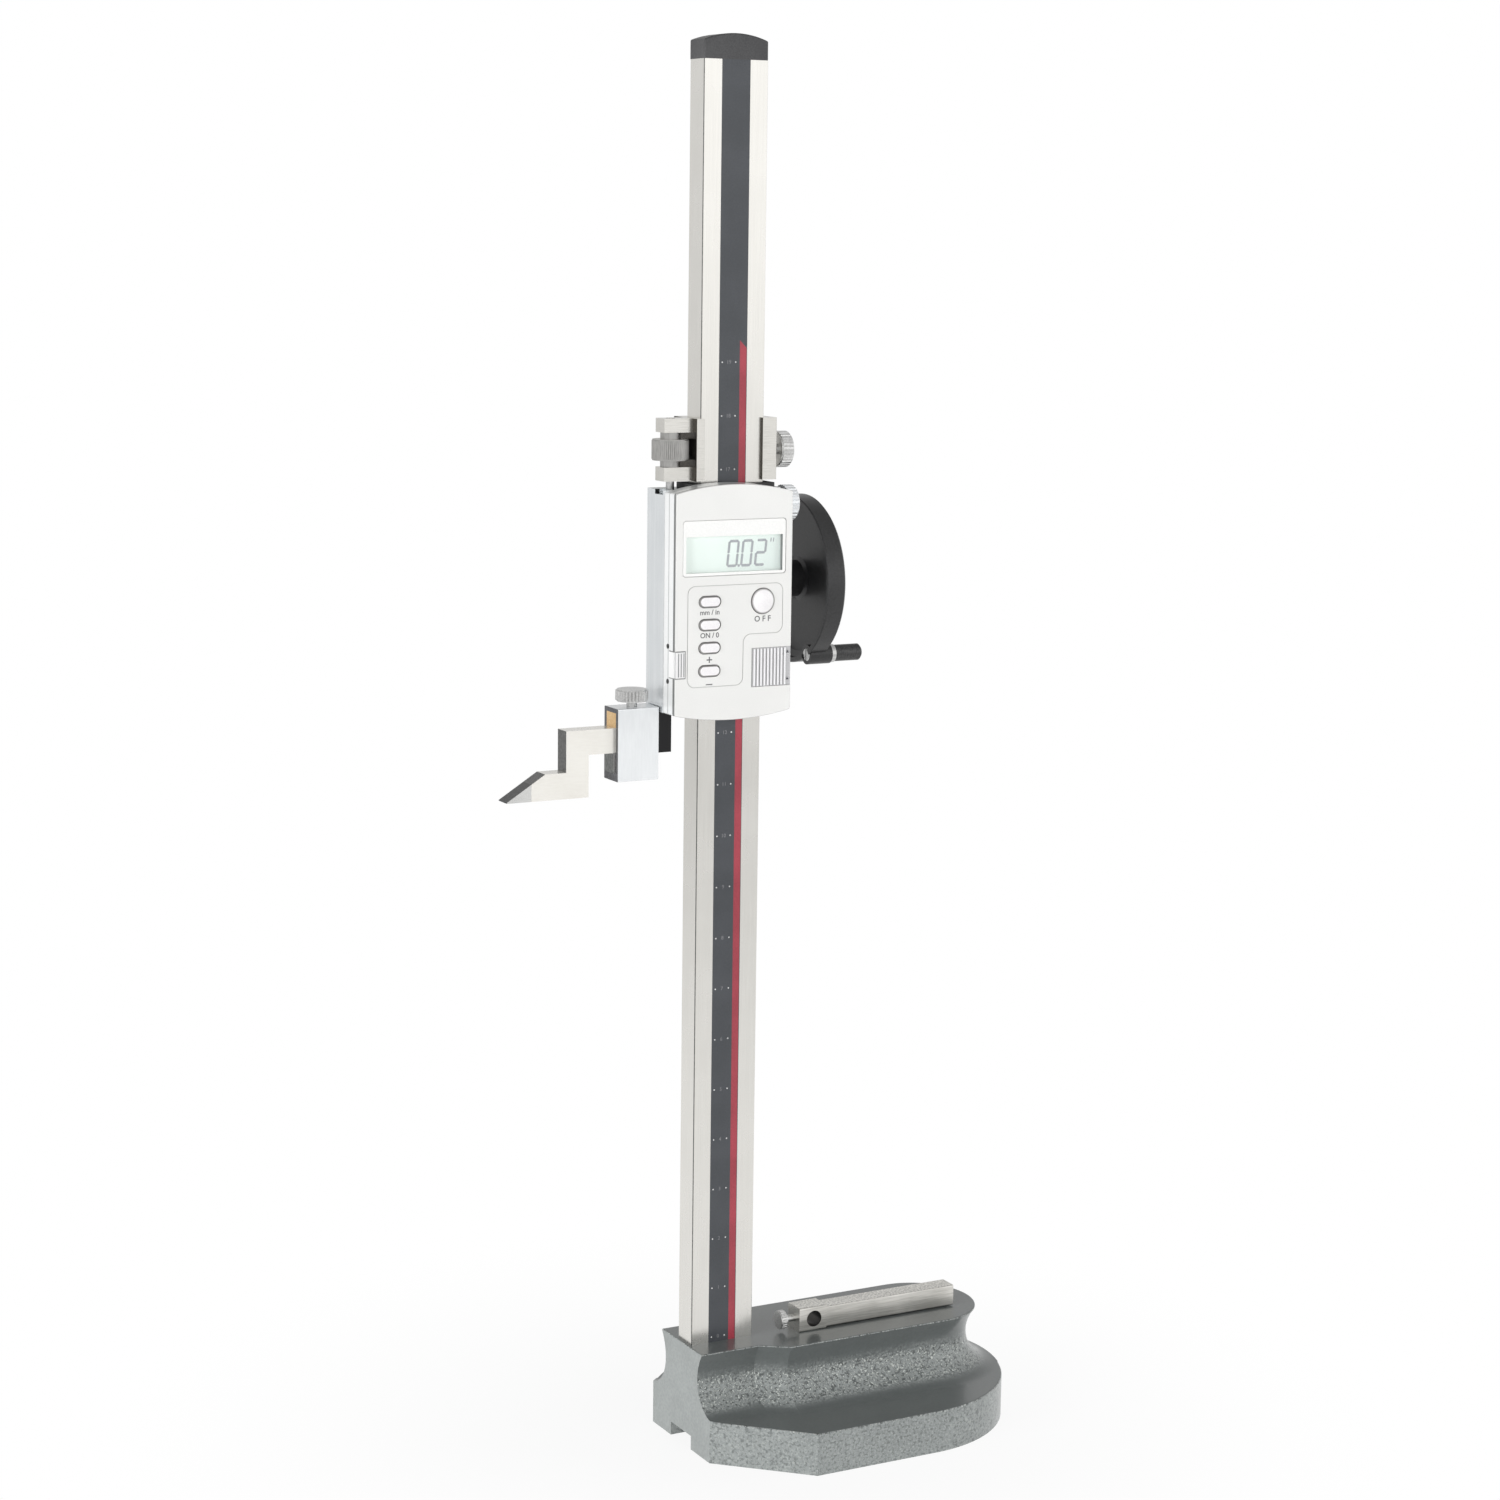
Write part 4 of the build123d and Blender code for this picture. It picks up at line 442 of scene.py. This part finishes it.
def castingFinish(name, look):
    constants = {"Metallic": 0.1, "Coat Weight": 0.35, "Coat Roughness": 0.12}
    material, shader, place, facing = newFinish(name, constants)
    up = facing.along((0, 0, 1))
    side = 1 - facing.along((-1, 0, 0)).step(0.93, 0.99)  # all but its flat left end
    cast = up.step(-0.25, 0.12) * (1 - up.step(0.80, 0.95)) * side
    curved = between(up, 0.12, 0.75, 0.12)
    cells = place.node("TexVoronoi", {"Vector": place, "Scale": 1 / look["cell"]}, feature="SMOOTH_F1")
    clouds = grain(place, 0.012)
    # bright hammer flecks, with painted glints added where the casting curves upwards
    fleckAndGlint = grain(place, look["fleckSize"], detail=3).step(0.52, 0.63) * (cast * 0.28 + curved * 0.50)
    pit = grain(place, look["fleckSize"] * 1.5, (1, 1, 1.1), 3).step(0.50, 0.62)
    pit = pit * (cast * 0.55 + curved * 0.15 + 0.05)
    color = (clouds * 0.6 + cells * 0.5).step(0.2, 0.8).tint(look["dark"], look["light"])
    rim = (1 - up.step(-0.2, 0.3)) * place.along((0, 0, 1)).step(look["rimLow"], look["rimHigh"]) * side
    paintedShade = rim + up.step(0.75, 0.97)  # painted shade under the rim and on flat tops
    color = (paintedShade * 0.75).tint(color, look["deep"])
    feed(shader, "Base Color", fleckAndGlint.tint(pit.tint(color, look["pit"]), look["fleckAndGlint"]))
    feed(shader, "Roughness", clouds * 0.08 + look["rough"] - 0.04)
    relief(shader, (cells * 0.5 + fleckAndGlint) * (cast * (1 - look["smoothBump"]) + look["smoothBump"]), look["bump"])
    return material


finishes = {name: steelFinish(name, look) for name, look in steelLooks.items()}
finishes.update({name: paintFinish(name, look) for name, look in paintLooks.items()})
finishes.update({name: silverFinish(name, look) for name, look in silverLooks.items()})
finishes.update({name: keyFinish(name, look) for name, look in keyLooks.items()})
finishes["bezelWhite"] = bezelFinish("bezelWhite", bezelLook)
finishes["screenGrey"] = screenFinish("screenGrey", screenLook)
finishes["lensClear"] = lensFinish("lensClear", lensLook)
finishes["castingEnamel"] = castingFinish("castingEnamel", castingLook)

finishOf = {
    "castingEnamel": ["base_casting"],
    "beamSteel": ["beam"],
    "tapeBlack": ["scale_tape"],
    "stripeRed": ["red_stripe"],
    "capPlastic": ["top_cap", "data_port", "reading_head"],
    "plainSteel": [
        "foot_screws", "rack", "gib_strip", "fine_screw", "drive_pinion", "pinion_shaft", "crank_pin",
        "housing_screws", "battery", "battery_contact",
    ],
    "sliderChrome": ["slider_frame", "rear_housing", "pinion_cover"],
    "knobChrome": ["carriage_knob", "clamp_screw", "holder_screw"],
    "knurledSteel": ["fine_nut"],
    "clampChrome": ["scriber_clamp", "slider_knob"],
    "carriageSteel": ["carriage"],
    "jawSteel": ["measuring_jaw"],
    "scriberSteel": ["scriber"],
    "holderSteel": ["indicator_holder"],
    "carbideGround": ["carbide_tip"],
    "blackenedSteel": ["gib_screws", "rear_screws", "side_screws", "wheel_screw", "crank_grip"],
    "brassGround": ["bush_left", "bush_right", "slider_shoe", "carriage_shoe", "clamp_pad"],
    "wheelBakelite": ["handwheel"],
    "panelSilver": ["front_panel"],
    "traySilver": ["housing_tray"],
    "doorSilver": ["battery_door"],
    "portSilver": ["port_cover"],
    "bezelWhite": ["window_bezel"],
    "keySilver": ["key_zero", "key_hold", "key_unit", "key_mode"],
    "powerSilver": ["power_key"],
    "rubberBlack": ["wiper_top", "wiper_bottom"],
    "boardGreen": ["circuit_board"],
    "matGrey": ["key_mat"],
    "screenGrey": ["lcd_panel"],
    "lensClear": ["display_lens"],
}
for finishName, members in finishOf.items():
    for member in members:
        for holder in nodes[member].material_slots:
            holder.material = finishes[finishName]
print("finishes on", sum(map(len, finishOf.values())), "of", len(nodes), "nodes")


def only(piece):  # this piece alone is selected and active
    bpy.ops.object.select_all(action="DESELECT")
    piece.select_set(True)
    bpy.context.view_layer.objects.active = piece


def settle(piece):  # its place into its mesh, so that the object lies at the origin
    only(piece)
    bpy.ops.object.transform_apply(location=True, rotation=True, scale=True)


def copyAt(piece, spot, turn=0.0):  # a copy with its own mesh, turned about Y
    made = piece.copy()
    made.data = piece.data.copy()
    bpy.context.collection.objects.link(made)
    made.location = spot
    made.rotation_euler = (0, turn, 0)
    return made


def joined(pieces, name):
    bpy.ops.object.select_all(action="DESELECT")
    for piece in pieces:
        piece.select_set(True)
    bpy.context.view_layer.objects.active = pieces[0]
    bpy.ops.object.join()
    made = bpy.context.active_object
    made.name = name
    made.data.name = name
    settle(made)
    return made


def dressed(piece, body, finish):
    piece.data.materials.clear()
    piece.data.materials.append(finishes[finish])
    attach(piece, body)


def moveEnd(piece, axis, side, offset):  # the vertices on one side of the middle move by offset
    only(piece)
    bpy.ops.object.mode_set(mode="EDIT")
    bpy.ops.mesh.select_all(action="DESELECT")
    bpy.ops.object.mode_set(mode="OBJECT")
    for vertex in piece.data.vertices:
        vertex.select = vertex.co[axis] * side > 0.00001
    bpy.ops.object.mode_set(mode="EDIT")
    bpy.ops.transform.translate(value=offset)
    bpy.ops.object.mode_set(mode="OBJECT")


markLook = {"thickness": 0.00004, "letterThickness": 0.00003, "proud": 0.00001, "roundSides": 12}  # all thin marks


def disc(radius, sides):  # a thin round mark that faces -Y
    bpy.ops.object.select_all(action="DESELECT")
    bpy.ops.mesh.primitive_cylinder_add(
        vertices=sides, radius=radius, depth=markLook["thickness"], rotation=(radians(90), 0, 0))
    made = bpy.context.active_object
    bpy.ops.object.transform_apply(location=False, rotation=True, scale=False)
    return made


def frontText(words, spot, height, bold=0.0):  # letters that face -Y, centred on the spot
    bpy.ops.object.select_all(action="DESELECT")
    bpy.ops.object.text_add(location=spot, rotation=(radians(90), 0, 0))
    letters = bpy.context.active_object
    letters.data.body = words
    letters.data.size = height / 0.7  # capitals stand 0.7 of the size
    letters.data.align_x = "CENTER"
    letters.data.align_y = "CENTER"
    letters.data.extrude = markLook["letterThickness"] / 2
    letters.data.offset = bold
    letters.data.resolution_u = 3
    bpy.ops.object.convert(target="MESH")
    return bpy.context.active_object


# marks of the scale tape: at each inch a figure between two dots
tapeMarks = {
    "first": 0.0551, "pitch": 0.0254, "count": 20, "dot": 0.00036, "figure": 0.0018,
    "left": -0.0058, "right": 0.0014, "middle": -0.0022,
}
tapeLow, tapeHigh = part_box("scale_tape")
tapeMiddle = (tapeLow.x + tapeHigh.x) / 2
tapeFront = tapeLow.y - markLook["proud"]
tapeDot = disc(tapeMarks["dot"], markLook["roundSides"])
dots = [tapeDot]
figures = []
for inch in range(tapeMarks["count"]):
    height = tapeMarks["first"] + inch * tapeMarks["pitch"]
    for side in ("left", "right"):
        spot = (tapeMiddle + tapeMarks[side], tapeFront, height)
        if inch == 0 and side == "left":
            tapeDot.location = spot
        else:
            dots.append(copyAt(tapeDot, spot))
    middle = (tapeMiddle + tapeMarks["middle"], tapeFront, height)
    figures.append(frontText(str(inch), middle, tapeMarks["figure"]))
dressed(joined(dots, "tapeDots"), "base", "markWhite")
dressed(joined(figures, "tapeFigures"), "base", "markGrey")
print("tape marked")

# figures of the display: seven thin bars to a figure, slanted
displayLook = {
    "text": "0.02", "height": 0.0130, "width": 0.0049, "pitch": 0.00745, "stroke": 0.00125, "gap": 0.00028,
    "slant": 0.10, "start": -0.0058, "tickShift": 0.0012, "tickApart": 0.0014, "tickScale": (0.45, 1, 1.6),
}
barPlaces = {  # middle of each bar in half widths and half heights, and whether it lies flat
    "a": (0, 1, True), "b": (1, 0.5, False), "c": (1, -0.5, False), "d": (0, -1, True),
    "e": (-1, -0.5, False), "f": (-1, 0.5, False), "g": (0, 0, True),
}
barsOf = {"0": "abcdef", "2": "abged"}
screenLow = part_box("lcd_panel")[0]
lensLow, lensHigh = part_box("display_lens")
screenFront = screenLow.y - markLook["proud"]
figureMiddle = (lensLow.z + lensHigh.z) / 2


def displayBar(length):  # a thin six-sided bar that stands upright
    bar = disc(displayLook["stroke"] / 2 / cos(radians(30)), 6)
    for side in (1, -1):
        moveEnd(bar, 2, side, (0, 0, side * (length - displayLook["stroke"]) / 2))
    return bar


halfWidth = displayLook["width"] / 2
halfHeight = displayLook["height"] / 2 - displayLook["stroke"] / 2
tallBar = displayBar(halfHeight - displayLook["gap"])
flatBar = displayBar(displayLook["width"] - displayLook["gap"])
dotShape = disc(displayLook["stroke"] * 0.55, markLook["roundSides"])
bars = []
across = tapeMiddle + displayLook["start"]
for character in displayLook["text"]:
    if character == ".":
        bars.append(copyAt(dotShape, (across - displayLook["pitch"] / 2, screenFront, figureMiddle - halfHeight)))
        continue
    for letter in barsOf[character]:
        sideways, upwards, flat = barPlaces[letter]
        spot = (across + sideways * halfWidth, screenFront, figureMiddle + upwards * halfHeight)
        bars.append(copyAt(flatBar if flat else tallBar, spot, radians(90) if flat else 0))
    across += displayLook["pitch"]
for tick in (0, displayLook["tickApart"]):  # inch mark after the figures
    sideways = across - displayLook["pitch"] / 2 + displayLook["tickShift"] + tick
    mark = copyAt(dotShape, (sideways, screenFront, figureMiddle + halfHeight))
    mark.scale = displayLook["tickScale"]
    bars.append(mark)
for shape in (tallBar, flatBar, dotShape):
    bpy.data.objects.remove(shape)
digits = joined(bars, "displayDigits")
for vertex in digits.data.vertices:  # slant of the figures
    vertex.co.x += (vertex.co.z - figureMiddle) * displayLook["slant"]
dressed(digits, "slider", "digitGrey")
print("display shows", displayLook["text"])

# words under the keys, each with its height
labelLook = {
    "key_zero": ("mm / in", 0.0024), "key_hold": ("ON / 0", 0.0024), "key_unit": ("+", 0.0042),
    "key_mode": ("\u2013", 0.0046), "power_key": ("O F F", 0.0027),
}
labelDrop = {"share": 0.55, "least": 0.0014, "bold": 0.00006}  # below the key, and how thick the strokes are
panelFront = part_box("front_panel")[0].y - markLook["proud"]
labels = []
for keyName, (words, height) in labelLook.items():
    keyLow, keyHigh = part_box(keyName)
    drop = max(height * labelDrop["share"], labelDrop["least"])
    spot = ((keyLow.x + keyHigh.x) / 2, panelFront, keyLow.z - drop)
    labels.append(frontText(words, spot, height, labelDrop["bold"]))
dressed(joined(labels, "keyLabels"), "slider", "labelGrey")
print("keys labelled")

# painted shade of two small dimples at the outer end of the battery door
doorLook = {"dimple": 0.0009, "inset": 0.0018, "low": 0.0040, "high": 0.0035}
doorLow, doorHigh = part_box("battery_door")
dimpleX, dimpleY = doorHigh.x - doorLook["inset"], doorLow.y - markLook["proud"]
dimple = disc(doorLook["dimple"], 3)
dimple.location = (dimpleX, dimpleY, doorLow.z + doorLook["low"])
upper = copyAt(dimple, (dimpleX, dimpleY, doorHigh.z - doorLook["high"]))
dressed(joined([dimple, upper], "doorDimpleShade"), "battery_door_unit", "dimpleShade")
print("door dimpled")

# camera, in metres, degrees and millimetres
cameraLook = {
    "spot": (-0.732535, -1.352899, 0.601927), "turn": (80.6503, -0.7223, -28.1361), "lens": 76.51, "sensor": 36,
    "reach": 50,
}
cameraTurn = [radians(angle) for angle in cameraLook["turn"]]
bpy.ops.object.camera_add(location=cameraLook["spot"], rotation=cameraTurn)
camera = bpy.context.active_object
camera.name = "camera"
camera.data.lens = cameraLook["lens"]
camera.data.sensor_width = cameraLook["sensor"]
camera.data.clip_end = cameraLook["reach"]
bpy.context.scene.camera = camera

# soft boxes, low so that upright faces are the bright ones
lampLooks = {
    "leftBox": {"spot": (-2.3, -0.6, 0.5), "size": 1.5, "power": 62},
    "frontBox": {"spot": (0.3, -2.6, 0.6), "size": 1.6, "power": 18},
    "rightBox": {"spot": (2.2, -0.9, 0.5), "size": 1.5, "power": 26},
    "backBox": {"spot": (0.6, 2.4, 0.9), "size": 1.8, "power": 10},
}
lampAim = Vector((0, 0, 0.3))
for lampName, look in lampLooks.items():
    bpy.ops.object.light_add(type="AREA", location=look["spot"])
    lamp = bpy.context.active_object
    lamp.name = lampName
    lamp.data.size = look["size"]
    lamp.data.energy = look["power"]
    lamp.visible_glossy = False  # metal mirrors the room, not the lamps
    lamp.rotation_euler = (lampAim - Vector(look["spot"])).to_track_quat("-Z", "Y").to_euler()

# room light: white to the camera, brightest near the horizon for the rest
roomLook = {"seen": 1.0, "horizon": 0.78, "zenith": 0.16, "shineFront": 1.24, "shineBack": 0.78, "shineTop": 0.55}
world = bpy.data.worlds.new("studioRoom")
bpy.context.scene.world = world
world.use_nodes = True
room = world.node_tree
background = room.nodes["Background"]
background.inputs["Color"].default_value = (1, 1, 1, 1)
rays = room.nodes.new("ShaderNodeLightPath")
direction = Wire(room, room.nodes.new("ShaderNodeTexCoord").outputs["Generated"])
rise = direction.along((0, 0, 1))
front = direction.along((0, -1, 0)).step(-0.5, 0.6)
shine = front * (roomLook["shineFront"] - roomLook["shineBack"]) + roomLook["shineBack"]
shine = shine * (1 - rise.step(0.25, 0.8) * (1 - roomLook["shineTop"]))
soft = rise.step(0.0, 0.8) * (roomLook["zenith"] - roomLook["horizon"]) + roomLook["horizon"]
isGlossy = Wire(room, rays.outputs["Is Glossy Ray"])
isCamera = Wire(room, rays.outputs["Is Camera Ray"])
level = isCamera * roomLook["seen"] + (1 - isCamera) * (isGlossy * shine + (1 - isGlossy) * soft)
feed(background, "Strength", level)

# floor: pale paper that fades into the white room
floorLook = {
    "size": 12.0, "color": (0.96, 0.96, 0.96), "rough": 0.9, "specular": 0.1, "clearFrom": 0.0, "clearTo": 0.35,
    "least": 0.88, "glowNear": 0.90, "glowFar": 0.68, "nearTo": 0.5, "farFrom": 2.0,
}
bpy.ops.mesh.primitive_plane_add(size=floorLook["size"], location=(0, 0, 0))
floor = bpy.context.active_object
floor.name = "floor"
floorPaper, floorShader, floorPlace = newFinish("floorPaper", {
    "Roughness": floorLook["rough"], "Base Color": (*floorLook["color"], 1),
    "Specular IOR Level": floorLook["specular"],
})[:3]
paper = floorPaper.node_tree
glow = paper.nodes.new("ShaderNodeEmission")
floorRays = Wire(paper, paper.nodes.new("ShaderNodeLightPath").outputs["Is Camera Ray"])
away = floorPlace.node("VectorMath", {0: floorPlace}, "Value", operation="LENGTH")
fading = away.step(floorLook["nearTo"], floorLook["farFrom"])
reflected = fading * (floorLook["glowFar"] - floorLook["glowNear"]) + floorLook["glowNear"]
feed(glow, "Strength", floorRays * roomLook["seen"] + (1 - floorRays) * reflected)
mixer = paper.nodes.new("ShaderNodeMixShader")
clearing = away.step(floorLook["clearFrom"], floorLook["clearTo"])
feed(mixer, "Fac", clearing * (1 - floorLook["least"]) + floorLook["least"])
paper.links.new(floorShader.outputs[0], mixer.inputs[1])
paper.links.new(glow.outputs[0], mixer.inputs[2])
paper.links.new(mixer.outputs[0], paper.nodes["Material Output"].inputs["Surface"])
floor.data.materials.append(floorPaper)
bpy.context.scene.view_settings.view_transform = "Standard"
print("stage set")
